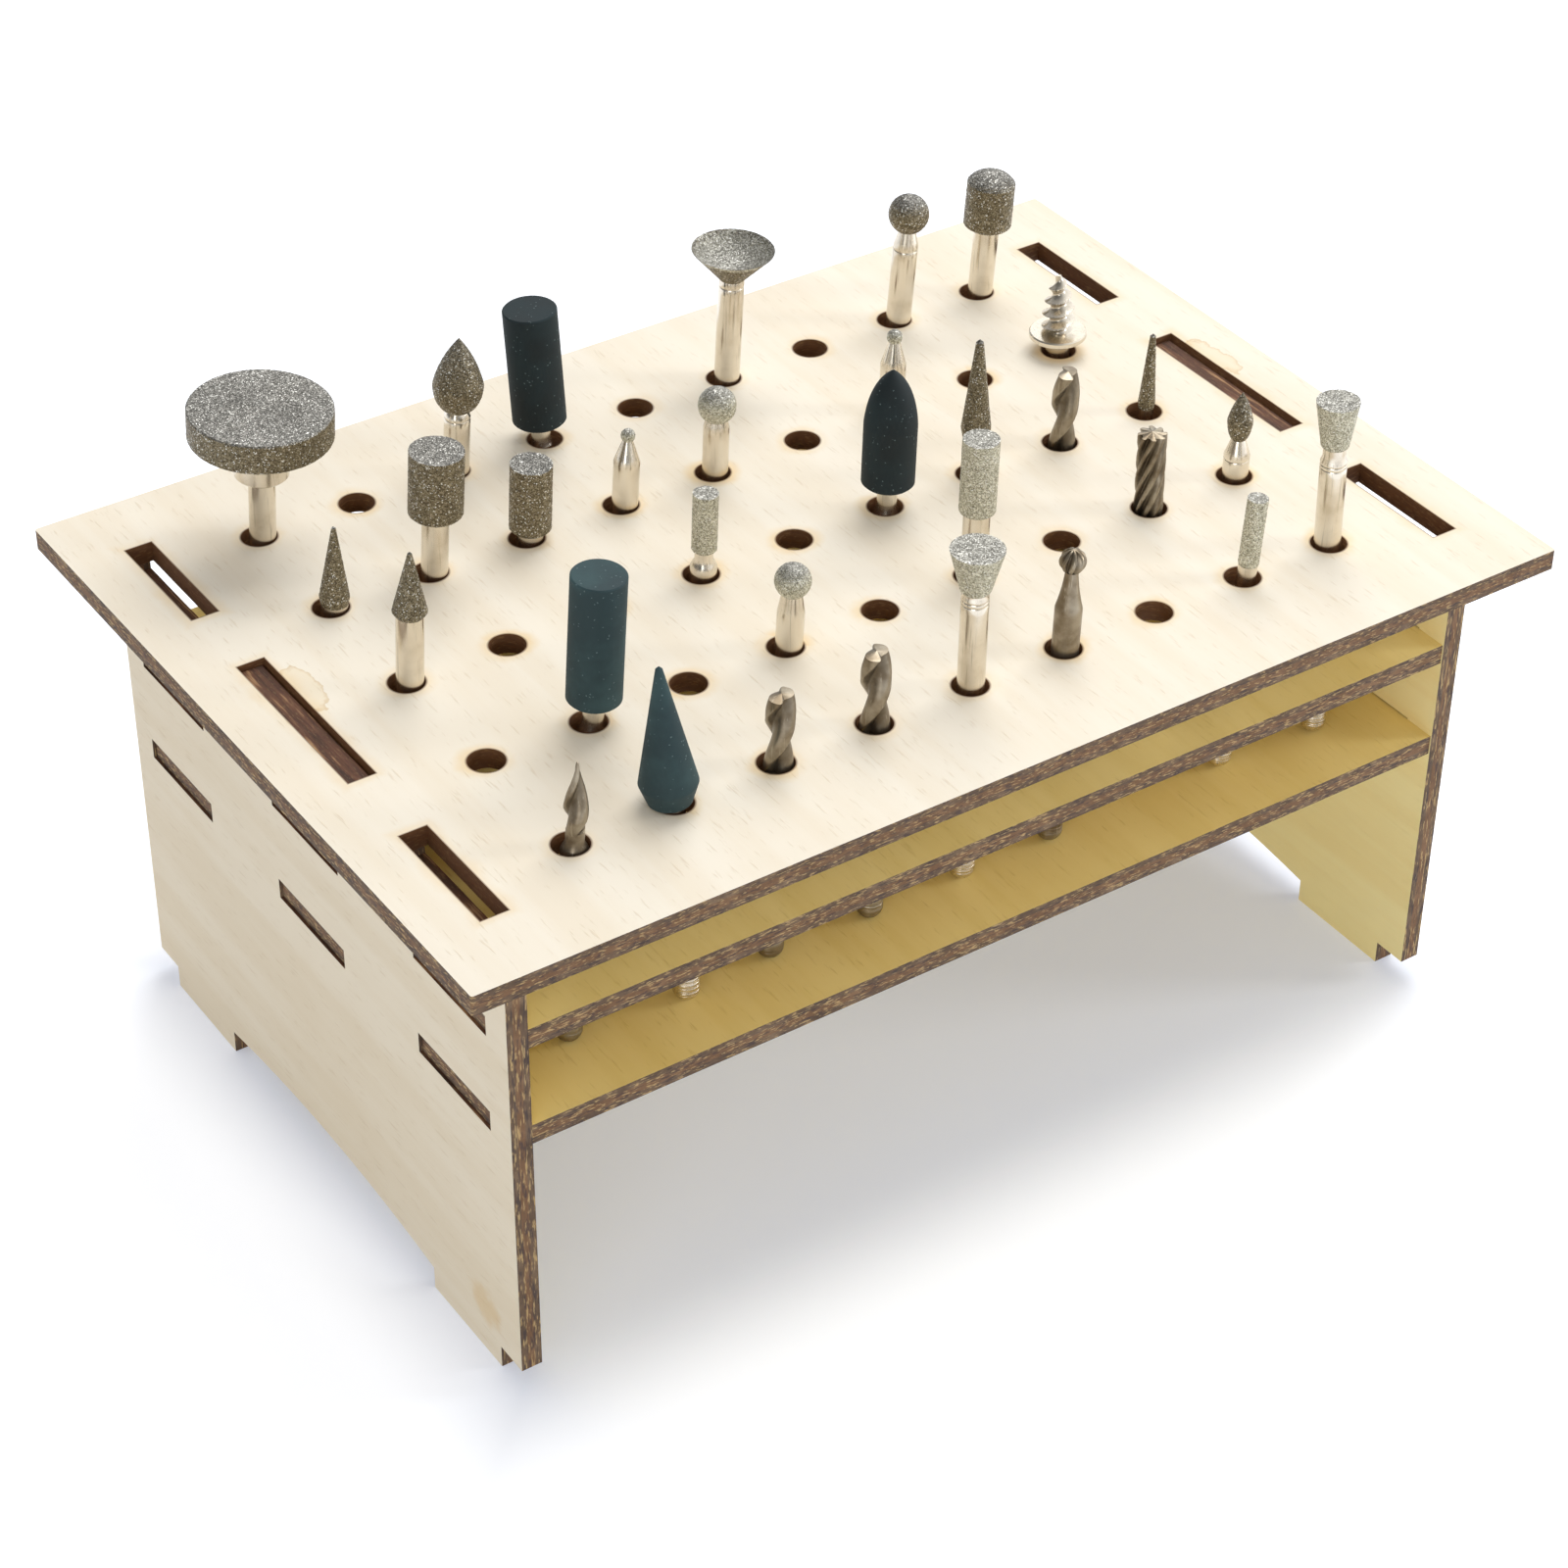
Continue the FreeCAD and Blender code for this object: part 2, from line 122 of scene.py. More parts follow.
class Graph:
    """Places and links the nodes of one material, world or group."""

    def __init__(self, tree: Tree) -> None:
        """Work on a node tree."""
        self.tree = tree

    @classmethod
    def blank(cls, owner: Union[bpy.types.Material, bpy.types.World]) -> "Graph":
        """Emptied graph of a material or a world.

        Args:
            owner: the material or world.

        Returns:
            Its graph.
        """
        owner.use_nodes = True
        owner.node_tree.nodes.clear()
        return cls(owner.node_tree)

    def add(self, kind: str, inputs: Optional[Dict] = None, **settings: object) -> Node:
        """Add a node.

        Args:
            kind: the node's type without its ShaderNode prefix.
            inputs: values or sockets, by the input's name or index.
            settings: properties of the node.

        Returns:
            The new node.
        """
        prefix = "" if kind.startswith("NodeGroup") else "ShaderNode"
        node = self.tree.nodes.new(prefix + kind)
        for key, value in settings.items():
            setattr(node, key, value)
        self.fill(node, inputs or {})
        return node

    def place(self, group: Tree, inputs: Dict) -> Node:
        """Place a shared group with its own values.

        Args:
            group: the group's tree.
            inputs: values or sockets, by the input's name.

        Returns:
            The group's node.
        """
        node = self.add("Group", node_tree=group)
        self.fill(node, inputs)
        return node

    def fill(self, node: Node, inputs: Dict) -> None:
        """Feed inputs of a node, by name or index."""
        for key, value in inputs.items():
            self.feed(node.inputs[key], value)

    def feed(self, socket: Socket, value: Value) -> None:
        """Link a socket to an input, or set the input's own value.

        Args:
            socket: the input.
            value: a socket, or the value itself; a colour is given full alpha.
        """
        if isinstance(value, bpy.types.NodeSocket):
            self.tree.links.new(value, socket)
        elif isinstance(value, tuple) and len(value) == 3 and socket.type == "RGBA":
            socket.default_value = (*value, 1.0)
        else:
            socket.default_value = value

    def math(self, operation: str, first: Value, second: Value = 0.0) -> Socket:
        """Result of a Math node on two values."""
        return self.add("Math", {0: first, 1: second}, operation=operation).outputs[0]

    def plus(self, first: Value, second: Value) -> Socket:
        """Sum of two values."""
        return self.math("ADD", first, second)

    def minus(self, first: Value, second: Value) -> Socket:
        """First value less the second."""
        return self.math("SUBTRACT", first, second)

    def times(self, first: Value, second: Value) -> Socket:
        """Product of two values."""
        return self.math("MULTIPLY", first, second)

    def over(self, first: Value, second: Value) -> Socket:
        """First value over the second."""
        return self.math("DIVIDE", first, second)

    def larger(self, first: Value, second: Value) -> Socket:
        """Larger of two values."""
        return self.math("MAXIMUM", first, second)

    def smaller(self, first: Value, second: Value) -> Socket:
        """Smaller of two values."""
        return self.math("MINIMUM", first, second)

    def above(self, value: Value, level: Value) -> Socket:
        """1 where a value is above a level, else 0."""
        return self.math("GREATER_THAN", value, level)

    def apart(self, first: Value, second: Value = 0.0) -> Socket:
        """Distance between two values."""
        return self.math("ABSOLUTE", self.minus(first, second))

    def squares(self, first: Value, second: Value) -> Socket:
        """Sum of the squares of two values."""
        return self.plus(self.math("POWER", first, 2.0), self.math("POWER", second, 2.0))

    def smooth(self, value: Value, low: float, high: float) -> Socket:
        """Smooth step of a value from 0 at low to 1 at high."""
        settings = {"Value": value, "From Min": low, "From Max": high}
        return self.add("MapRange", settings, interpolation_type="SMOOTHSTEP").outputs["Result"]

    def fall(self, value: Value, low: float, high: float) -> Socket:
        """Smooth step of a value from 1 at low to 0 at high."""
        return self.minus(1.0, self.smooth(value, low, high))

    def blend(self, share: Value, first: Value, second: Value) -> Socket:
        """Mix of two numbers by a share."""
        return self.add("Mix", {0: share, 2: first, 3: second}).outputs[0]

    def mix(self, share: Value, first: Value, second: Value) -> Socket:
        """Mix of two colours by a share."""
        return self.add("Mix", data_type="RGBA", inputs={0: share, 6: first, 7: second}).outputs[2]

    def tint(self, colour: Value, mask: Value, strength: float, other: Value) -> Socket:
        """Colour with another laid over it where a mask says, at a strength."""
        return self.mix(self.times(mask, strength), colour, other)

    def ramp(self, value: Value, stops: Sequence[Tuple[float, Colour]]) -> Socket:
        """Colour ramp.

        Args:
            value: where on the ramp.
            stops: position and colour of each stop.

        Returns:
            The colour.
        """
        node = self.add("ValToRGB", {"Fac": value})
        elements = node.color_ramp.elements
        while len(elements) < len(stops):
            elements.new(0.5)
        for element, (position, colour) in zip(elements, stops):
            element.position = position
            element.color = (*colour, 1.0)
        return node.outputs["Color"]

    def split(self, vector: Socket) -> Sequence[Socket]:
        """X, Y and Z of a vector."""
        return tuple(self.add("SeparateXYZ", {"Vector": vector}).outputs)

    def stretch(self, vector: Socket, scale: Tuple[float, float, float]) -> Socket:
        """Vector scaled per axis."""
        return self.add("Mapping", {"Vector": vector, "Scale": scale}).outputs["Vector"]

    def noise(self, vector: Socket, scale: float, detail: float = 3.0) -> Socket:
        """Noise value on a vector, about 0.5."""
        settings = {"Vector": vector, "Scale": scale, "Detail": detail, "Roughness": 0.55}
        return self.add("TexNoise", settings).outputs["Fac"]

    def streaks(self, vector: Socket, scale: Tuple[float, float, float], detail: float) -> Socket:
        """Noise value drawn out along the axis of the smallest scale."""
        return self.noise(self.stretch(vector, scale), 1.0, detail)

    def drift(self, vector: Socket, scale: float, width: float) -> Socket:
        """Noise about zero in a band of a width, to make an outline uneven."""
        return self.times(self.minus(self.noise(vector, scale), 0.5), width)

    def cells(self, vector: Socket, scale: Value) -> Socket:
        """Random value per cell."""
        cells = self.add("TexVoronoi", {"Vector": vector, "Scale": scale})
        return self.add("SeparateColor", {"Color": cells.outputs["Color"]}).outputs["Red"]

    def bump(self, shader: Node, height: Socket, strength: float, distance: float) -> None:
        """Roughen a shader's normal by a height."""
        bump = self.add("Bump", {"Height": height, "Strength": strength, "Distance": distance})
        self.feed(shader.inputs["Normal"], bump.outputs["Normal"])


def new_group(name: str, inputs: Dict[str, str], outputs: Dict[str, str]) -> Tuple[Graph, Node, Node]:
    """Start a shader node group.

    Args:
        name: the group's name.
        inputs, outputs: socket types by socket name.

    Returns:
        The graph of the group, its input node and its output node.
    """
    tree = bpy.data.node_groups.new(name, "ShaderNodeTree")
    for way, sockets in (("INPUT", inputs), ("OUTPUT", outputs)):
        for socket, kind in sockets.items():
            tree.interface.new_socket(name=socket, in_out=way, socket_type="NodeSocket" + kind)
    graph = Graph(tree)
    return graph, graph.add("NodeGroupInput"), graph.add("NodeGroupOutput")


def new_material(name: str) -> Tuple[bpy.types.Material, Graph, Node, Socket]:
    """Start a material with a Principled shader.

    Args:
        name: the material's name.

    Returns:
        The material, its graph, its shader and its Object coordinates.
    """
    material = bpy.data.materials.new(name)
    graph = Graph.blank(material)
    shader = graph.add("BsdfPrincipled")
    graph.add("OutputMaterial", {"Surface": shader.outputs["BSDF"]})
    return material, graph, shader, graph.add("TexCoord").outputs["Object"]


@dataclass(frozen=True)
class StandSizes:
    """Sizes of the stand that its finishes follow, in metres, read from the frame."""

    plate_low: float
    plate_high: float
    guide_low: float
    guide_high: float
    rest_low: float
    column_pitch: float
    row_pitch: float
    hole_radius: float
    slot_x: float
    stack_slot_y: float
    column_count: int = 9
    row_count: int = 5
    stack_slot_half: float = 8.45 * MM
    top_slot_half: float = 12.8 * MM
    slot_half_width: float = 1.7 * MM

    @classmethod
    def from_frame(cls, frame: Dict) -> "StandSizes":
        """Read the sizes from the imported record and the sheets' boxes.

        Args:
            frame: the loaded frame.

        Returns:
            The sizes.
        """
        plate, guide, rest = (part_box(node) for node in ("top_plate", "guide_shelf", "rest_shelf"))
        mounts = frame["record"]["mounts"]
        holes = [mount for mount in mounts if mount["name"].startswith("tool_hole")]
        slot = next(mount for mount in mounts if mount["name"].startswith("stack_slot"))
        return cls(
            plate_low=plate[0].z, plate_high=plate[1].z, guide_low=guide[0].z, guide_high=guide[1].z,
            rest_low=rest[0].z, column_pitch=cls.pitch([hole["pos_m"][0] for hole in holes]),
            row_pitch=cls.pitch([hole["pos_m"][1] for hole in holes]),
            hole_radius=holes[0]["dims"]["r_mm"] * MM,
            slot_x=abs(slot["pos_m"][0]), stack_slot_y=abs(slot["pos_m"][1]),
        )

    @staticmethod
    def pitch(places: Sequence[float]) -> float:
        """Smallest step between unlike places."""
        steps = np.diff(np.unique(np.round(places, 6)))
        return float(steps[steps > MM].min())

    @property
    def ply(self) -> float:
        """Thickness of the sheets."""
        return self.plate_high - self.plate_low


@dataclass(frozen=True)
class CutEdge:
    """Laser-cut ply edge: charred plies round a browner core, with soot and pale fibre along the sheet."""

    char: Tuple[Colour, Colour, Colour] = (linear(86, 68, 53), linear(116, 94, 75), linear(146, 122, 97))
    char_stops: Tuple[float, float, float] = (0.25, 0.55, 0.8)
    core: Colour = linear(146, 102, 66)
    soot: Colour = linear(64, 56, 59)
    rim: Colour = linear(62, 50, 48)
    fleck: Colour = linear(212, 180, 126)
    soot_shift: Tuple[float, float, float] = (7.3, 3.1, 5.7)

    def build(self) -> Tree:
        """Build the shared group.

        Returns:
            The group. Its Strokes input is a place that is stretched to lie along the sheet, and its Depth
            runs from 0 at one broad face to 1 at the other.
        """
        inputs = {"Vector": "Vector", "Strokes": "Vector", "Depth": "Float"}
        graph, start, end = new_group("scorched_edge", inputs, {"Color": "Color", "Height": "Float"})
        along = start.outputs["Strokes"]
        strokes = graph.noise(along, 1.0)
        aside = graph.add("Mapping", {"Vector": along, "Location": self.soot_shift}).outputs["Vector"]
        soot = graph.smooth(graph.noise(aside, 0.7, 2.0), 0.50, 0.64)
        off_core = graph.apart(start.outputs["Depth"], 0.5)
        core = graph.fall(off_core, 0.16, 0.20)
        wide = graph.noise(start.outputs["Vector"], 420.0)
        colour = graph.ramp(wide, list(zip(self.char_stops, self.char)))
        colour = graph.tint(colour, core, 0.4, self.core)
        colour = graph.tint(colour, soot, 0.7, self.soot)
        colour = graph.tint(colour, graph.smooth(off_core, 0.42, 0.50), 0.5, self.rim)
        colour = graph.tint(colour, graph.smooth(strokes, 0.54, 0.66), 0.72, self.fleck)
        graph.fill(end, {"Color": colour, "Height": graph.plus(strokes, graph.times(core, 0.3))})
        return graph.tree


@dataclass(frozen=True)
class Scorch:
    """Amber scorch round each hole and slot of the plate, uneven from one to the next; lengths in metres."""

    fade: Tuple[float, float] = (-0.4 * MM, 1.6 * MM)
    drift: float = 2.6 * MM
    hole_lip: float = 0.28 * MM
    slot_lip: float = 0.22 * MM
    hole_share: Tuple[float, float] = (0.3, 0.6)
    slot_share: float = 0.45
    whole_pitches: int = 20

    def build(self, sizes: StandSizes) -> Tree:
        """Build the shared group.

        Args:
            sizes: the stand's sizes.

        Returns:
            The group. Its Mask fades over the scorch and its Rim is the burnt lip.
        """
        graph, start, end = new_group("scorch_halo", {"Vector": "Vector"}, {"Mask": "Float", "Rim": "Float"})
        vector = start.outputs["Vector"]
        x, y, _ = graph.split(vector)
        hole, slot = self.past_hole(graph, sizes, x, y), self.past_slot(graph, sizes, x, y)
        drift = graph.drift(vector, 210.0, self.drift)
        least, more = self.hole_share
        strength = graph.plus(graph.times(graph.cells(vector, 62.0), more), least)
        hole_mask = graph.times(graph.fall(graph.plus(hole, drift), *self.fade), strength)
        slot_mask = graph.times(graph.fall(graph.plus(slot, drift), *self.fade), self.slot_share)
        rim = graph.larger(graph.fall(hole, 0.0, self.hole_lip), graph.fall(slot, 0.0, self.slot_lip))
        graph.fill(end, {"Mask": graph.larger(hole_mask, slot_mask), "Rim": rim})
        return graph.tree

    def past_hole(self, graph: Graph, sizes: StandSizes, x: Socket, y: Socket) -> Socket:
        """Distance past the edge of the nearest hole of the grid; far away outside the grid.

        Args:
            graph: the group's graph.
            sizes: the stand's sizes.
            x, y: the place.

        Returns:
            The distance.
        """
        away, outside = [], []
        grid = ((x, sizes.column_pitch, sizes.column_count), (y, sizes.row_pitch, sizes.row_count))
        for place, pitch, count in grid:
            folded = graph.math("PINGPONG", graph.plus(place, self.whole_pitches * pitch), pitch)
            away.append(graph.smaller(folded, graph.minus(pitch, folded)))
            outside.append(graph.above(graph.apart(place), count * pitch / 2))
        radius = graph.math("SQRT", graph.squares(*away))
        return graph.minus(graph.plus(radius, graph.larger(*outside)), sizes.hole_radius)

    @staticmethod
    def past_slot(graph: Graph, sizes: StandSizes, x: Socket, y: Socket) -> Socket:
        """Distance past the edge of the nearest slot, which is a box.

        Args:
            graph: the group's graph.
            sizes: the stand's sizes.
            x, y: the place.

        Returns:
            The distance.
        """
        across = graph.minus(graph.apart(graph.apart(x), sizes.slot_x), sizes.slot_half_width)
        side = graph.apart(y)
        corner = graph.minus(graph.apart(side, sizes.stack_slot_y), sizes.stack_slot_half)
        return graph.larger(across, graph.smaller(corner, graph.minus(side, sizes.top_slot_half)))


class Groups:
    """Shared shader node groups: veneer grain, cut edges, scorch halos, cell speckle and metal marks."""

    def __init__(self, sizes: StandSizes) -> None:
        """Build every group for a stand of these sizes.

        Args:
            sizes: the stand's sizes.
        """
        self.sizes = sizes
        self.grain = self.build_grain()
        self.cut_edge = CutEdge().build()
        self.halo = Scorch().build(sizes)
        self.speckle = self.build_speckle()
        self.marks = self.build_marks()

    @staticmethod
    def build_grain() -> Tree:
        """Birch veneer: long soft bands, short dark fibres and broad blotches along one axis.

        Returns:
            The group.
        """
        graph, start, end = new_group("veneer_grain", {"Vector": "Vector"},
                                      {"Bands": "Float", "Fibres": "Float", "Blotches": "Float"})
        vector = start.outputs["Vector"]
        bands = graph.streaks(vector, (220.0, 14.0, 220.0), 4.0)
        fibres = graph.smooth(graph.streaks(vector, (2600.0, 260.0, 2600.0), 2.0), 0.60, 0.74)
        graph.fill(end, {"Bands": bands, "Fibres": fibres, "Blotches": graph.noise(vector, 38.0)})
        return graph.tree

    @staticmethod
    def build_speckle() -> Tree:
        """Random value per small cell, with a mask of the few brightest cells.

        Returns:
            The group.
        """
        inputs = {"Vector": "Vector", "Scale": "Float", "Level": "Float"}
        graph, start, end = new_group("cell_speckle", inputs, {"Value": "Float", "Mask": "Float"})
        value = graph.cells(start.outputs["Vector"], start.outputs["Scale"])
        graph.fill(end, {"Value": value, "Mask": graph.above(value, start.outputs["Level"])})
        return graph.tree

    @staticmethod
    def build_marks() -> Tree:
        """Handling marks on metal: turning lines across the axis, long faint scratches and dull patches.

        Returns:
            The group.
        """
        graph, start, end = new_group("metal_marks", {"Vector": "Vector"},
                                      {"Lines": "Float", "Scratches": "Float", "Patches": "Float"})
        vector = start.outputs["Vector"]
        lines = graph.streaks(vector, (60.0, 60.0, 5200.0), 2.0)
        scratches = graph.smooth(graph.streaks(vector, (3600.0, 3600.0, 130.0), 2.0), 0.60, 0.72)
        graph.fill(end, {"Lines": lines, "Scratches": scratches, "Patches": graph.noise(vector, 330.0, 4.0)})
        return graph.tree


@dataclass(frozen=True)
class Spot:
    """Uneven oval mark on a sheet: its middle and its half sizes along two axes, in metres, and its drift."""

    middle: Tuple[float, float]
    half: Tuple[float, float]
    drift_scale: float
    drift_width: float

    def reach(self, graph: Graph, place: Socket, first: Socket, second: Socket) -> Socket:
        """Squared distance from the middle as a share of the half sizes, made uneven.

        Args:
            graph: the material's graph.
            place: Object coordinates.
            first, second: the place along the two axes.

        Returns:
            0 at the middle and about 1 at the outline.
        """
        shares = [graph.over(graph.minus(along, middle), half)
                  for along, middle, half in zip((first, second), self.middle, self.half)]
        return graph.plus(graph.squares(*shares), graph.drift(place, self.drift_scale, self.drift_width))


@dataclass(frozen=True)
class Plywood:
    """Plywood sheet: birch veneer on its broad faces and scorched plies on its cut edges."""

    sheet: Sheet
    pale: Colour
    warm: Colour
    fibre: Colour
    strokes: Tuple[float, float, float] = (1050.0, 1050.0, 5000.0)
    halo: Colour = linear(234, 196, 120)
    singe: Colour = linear(96, 58, 32)
    bore: Colour = linear(110, 70, 38)
    film: Colour = linear(238, 216, 174)
    film_rim: Colour = linear(206, 174, 122)
    knot: Colour = linear(226, 186, 112)
    # Tones of the panels' inner faces: painted bounce light from the shelves, yellower than the veneer.
    bounce_pale: Colour = linear(255, 239, 180)
    bounce_warm: Colour = linear(246, 221, 153)
    tab_stain: Tuple[Colour, Colour, Colour] = (
        linear(62, 35, 23), linear(106, 66, 46), linear(190, 148, 104))
    tab_stops: Tuple[float, float, float] = (0.35, 0.58, 0.70)
    glue: Spot = Spot((2.7 * MM, 5.5 * MM), (1.9 * MM, 5.0 * MM), 420.0, 2.2)
    foot: Spot = Spot((-4.5 * MM, 7.0 * MM), (3.4 * MM, 3.0 * MM), 520.0, 2.0)

    def make(self, groups: Groups) -> bpy.types.Material:
        """Make the sheet's material.

        Args:
            groups: the shared node groups.

        Returns:
            The material, with veneer where the normal lies along the sheet's thickness and char elsewhere.
        """
        material, graph, shader, place = new_material(self.sheet.value)
        normal = graph.split(graph.add("NewGeometry").outputs["Normal"])
        broad = normal[0] if self.sheet is Sheet.PANEL else normal[2]
        face = graph.smooth(graph.apart(broad), 0.45, 0.55)
        parts = graph.split(place)
        grain = graph.place(groups.grain, {"Vector": place}).outputs
        edge = graph.place(groups.cut_edge, {"Vector": place, "Strokes": graph.stretch(place, self.strokes),
                                             "Depth": self.depth(graph, parts, groups.sizes)}).outputs
        bands = graph.smooth(grain["Bands"], 0.35, 0.68)
        wood = graph.mix(graph.times(bands, 0.55), self.pale, self.warm)
        wood = graph.tint(wood, graph.smooth(grain["Blotches"], 0.5, 0.75), 0.35, self.warm)
        wood = graph.tint(wood, grain["Fibres"], 0.28, self.fibre)
        char = edge["Color"]
        if self.sheet is Sheet.TOP:
            wood = self.glued(graph, groups.sizes, place, parts, wood)
            halo = graph.place(groups.halo, {"Vector": place}).outputs
            wood = graph.tint(wood, halo["Mask"], 0.7, self.halo)
            wood, char = (graph.tint(tone, halo["Rim"], 0.8, burnt)
                          for tone, burnt in ((wood, self.singe), (char, self.bore)))
        if self.sheet is Sheet.PANEL:
            wood = self.stained(graph, groups.sizes, place, parts, wood)
            # Inner faces take the yellower tones: painted bounce light from the shelves.
            inner = graph.math("LESS_THAN", graph.times(normal[0], parts[0]), 0.0)
            painted_bounce = graph.mix(graph.times(bands, 0.5), self.bounce_pale, self.bounce_warm)
            wood = graph.mix(inner, wood, painted_bounce)
            char = self.tab_end(graph, place, normal[2], char)
        shader.inputs["Specular IOR Level"].default_value = 0.3
        graph.fill(shader, {"Base Color": graph.mix(face, char, wood),
                            "Roughness": graph.plus(graph.times(grain["Bands"], 0.12), 0.60)})
        graph.bump(shader, graph.blend(face, edge["Height"], grain["Fibres"]), 0.35, 0.12 * MM)
        return material

    def depth(self, graph: Graph, parts: Sequence[Socket], sizes: StandSizes) -> Socket:
        """Share of the way through the sheet's thickness.

        Args:
            graph: the material's graph.
            parts: the split Object coordinates.
            sizes: the stand's sizes.

        Returns:
            0 at one broad face and 1 at the other.
        """
        x, _, z = parts
        if self.sheet is Sheet.PANEL:
            through = graph.minus(graph.apart(x), sizes.slot_x - sizes.ply / 2)
        elif self.sheet is Sheet.TOP:
            through = graph.minus(z, sizes.plate_low)
        else:
            upper = graph.above(z, (sizes.guide_low + sizes.rest_low) / 2)
            underside = graph.plus(graph.times(upper, sizes.guide_low - sizes.rest_low), sizes.rest_low)
            through = graph.minus(z, underside)
        return graph.over(through, sizes.ply)

    def glued(self, graph: Graph, sizes: StandSizes, place: Socket, parts: Sequence[Socket],
              wood: Socket) -> Socket:
        """Film of dried glue beside each middle slot: an oval with an uneven, darker rim.

        Args:
            graph: the material's graph.
            sizes: the stand's sizes.
            place, parts: Object coordinates, whole and split.
            wood: colour of the veneer.

        Returns:
            The colour with the film on it.
        """
        x, y, _ = parts
        beside = graph.minus(x, graph.times(graph.math("SIGN", x), sizes.slot_x))
        reach = self.glue.reach(graph, place, beside, y)
        film = graph.fall(reach, 0.84, 0.96)
        wood = graph.tint(wood, film, 0.35, self.film)
        return graph.tint(wood, graph.times(film, graph.smooth(reach, 0.5, 0.9)), 0.45, self.film_rim)

    def stained(self, graph: Graph, sizes: StandSizes, place: Socket, parts: Sequence[Socket],
                wood: Socket) -> Socket:
        """Amber stain over each front foot: an uneven spot.

        Args:
            graph: the material's graph.
            sizes: the stand's sizes.
            place, parts: Object coordinates, whole and split.
            wood: colour of the veneer.

        Returns:
            The colour with the stain on it.
        """
        _, y, z = parts
        reach = self.foot.reach(graph, place, graph.plus(y, sizes.stack_slot_y), z)
        return graph.tint(wood, graph.fall(reach, 0.0, 1.3), 0.4, self.knot)

    def tab_end(self, graph: Graph, place: Socket, upward: Socket, char: Socket) -> Socket:
        """Stained end of each top tab: red-brown with pale chips along its length.

        Args:
            graph: the material's graph.
            place: Object coordinates.
            upward: the surface normal's Z.
            char: colour of the cut edges.

        Returns:
            The colour.
        """
        streaks = graph.streaks(place, (1600.0, 120.0, 900.0), 3.0)
        stain = graph.ramp(streaks, list(zip(self.tab_stops, self.tab_stain)))
        return graph.tint(char, graph.smooth(upward, 0.5, 0.6), 0.85, stain)


@dataclass(frozen=True)
class Grit:
    """Diamond grit bonded in nickel: painted glints on a few bright cells, painted light and shade by facing.

    Each set of tones runs from dark to light.
    """

    finish: Finish
    # Side and top tones: painted light and shade by facing, the sides for faces lit from the side, the top
    # for faces lit from above.
    side: Tuple[Colour, Colour, Colour]
    top: Tuple[Colour, Colour, Colour]
    stops: Tuple[float, float, float] = (0.15, 0.5, 0.85)
    # Near-white colour of the brightest grit cells: painted glints.
    painted_glint: Colour = linear(228, 227, 220)
    cell_scale: float = 8200.0
    # Share of cells below which no painted glint shows.
    glint_level: float = 0.955
    metallic: float = 0.5

    def make(self, groups: Groups) -> bpy.types.Material:
        """Make the material.

        Args:
            groups: the shared node groups.

        Returns:
            The material.
        """
        material, graph, shader, place = new_material(self.finish.value)
        grains = {"Vector": place, "Scale": self.cell_scale, "Level": self.glint_level}
        fine = graph.place(groups.speckle, grains).outputs
        coarse = graph.times(graph.noise(place, 1300.0), 0.38)
        grain = graph.plus(graph.times(fine["Value"], 0.62), coarse)
        # The normal's Z mixes the side and top tones: painted light and shade by facing.
        _, _, upward = graph.split(graph.add("NewGeometry").outputs["Normal"])
        side, top = (graph.ramp(grain, list(zip(self.stops, tones))) for tones in (self.side, self.top))
        tone = graph.mix(graph.smooth(upward, 0.3, 0.8), side, top)
        # The brightest cells take the near-white colour: painted glints.
        graph.fill(shader, {"Base Color": graph.mix(fine["Mask"], tone, self.painted_glint),
                            "Metallic": self.metallic,
                            "Roughness": graph.minus(0.60, graph.times(fine["Value"], 0.26))})
        graph.bump(shader, fine["Value"], 0.4, 0.03 * MM)
        return material


@dataclass(frozen=True)
class Metal:
    """Turned metal with turning lines, long scratches and dull patches; painted shade in its hollows.

    The turning lines are deeper at the lower end, where a chuck has gripped it.
    """

    finish: Finish
    clean: Colour
    dull: Colour
    scratch: Colour
    patch: Tuple[float, float]
    rough: Tuple[float, float]
    metallic: float
    lines: float
    grip: float = 7.0
    scratched: float = 0.3
    # Dark colour laid into the flutes and thread by their depth: painted shade.
    hollow: Colour = linear(52, 44, 34)
    hollow_shade_share: float = 0.55

    def make(self, groups: Groups) -> bpy.types.Material:
        """Make the material.

        Args:
            groups: the shared node groups.

        Returns:
            The material.
        """
        material, graph, shader, place = new_material(self.finish.value)
        marks = graph.place(groups.marks, {"Vector": place}).outputs
        tone = graph.mix(graph.smooth(marks["Patches"], *self.patch), self.clean, self.dull)
        tone = graph.tint(tone, marks["Scratches"], self.scratched, self.scratch)
        # The depth of the cut darkens the tone: painted shade in the hollows.
        cut = graph.add("Attribute", attribute_name=HOLLOW).outputs["Fac"]
        tone = graph.tint(tone, cut, self.hollow_shade_share, self.hollow)
        least, more = self.rough
        graph.fill(shader, {"Base Color": tone, "Metallic": self.metallic,
                            "Roughness": graph.plus(least, graph.times(marks["Patches"], more))})
        _, _, height = graph.split(place)
        gripped = graph.fall(height, groups.sizes.guide_high - MM, groups.sizes.guide_high)
        deep = graph.plus(self.lines, graph.times(gripped, self.grip))
        graph.bump(shader, graph.times(marks["Lines"], deep), 1.0, 0.03 * MM)
        return material


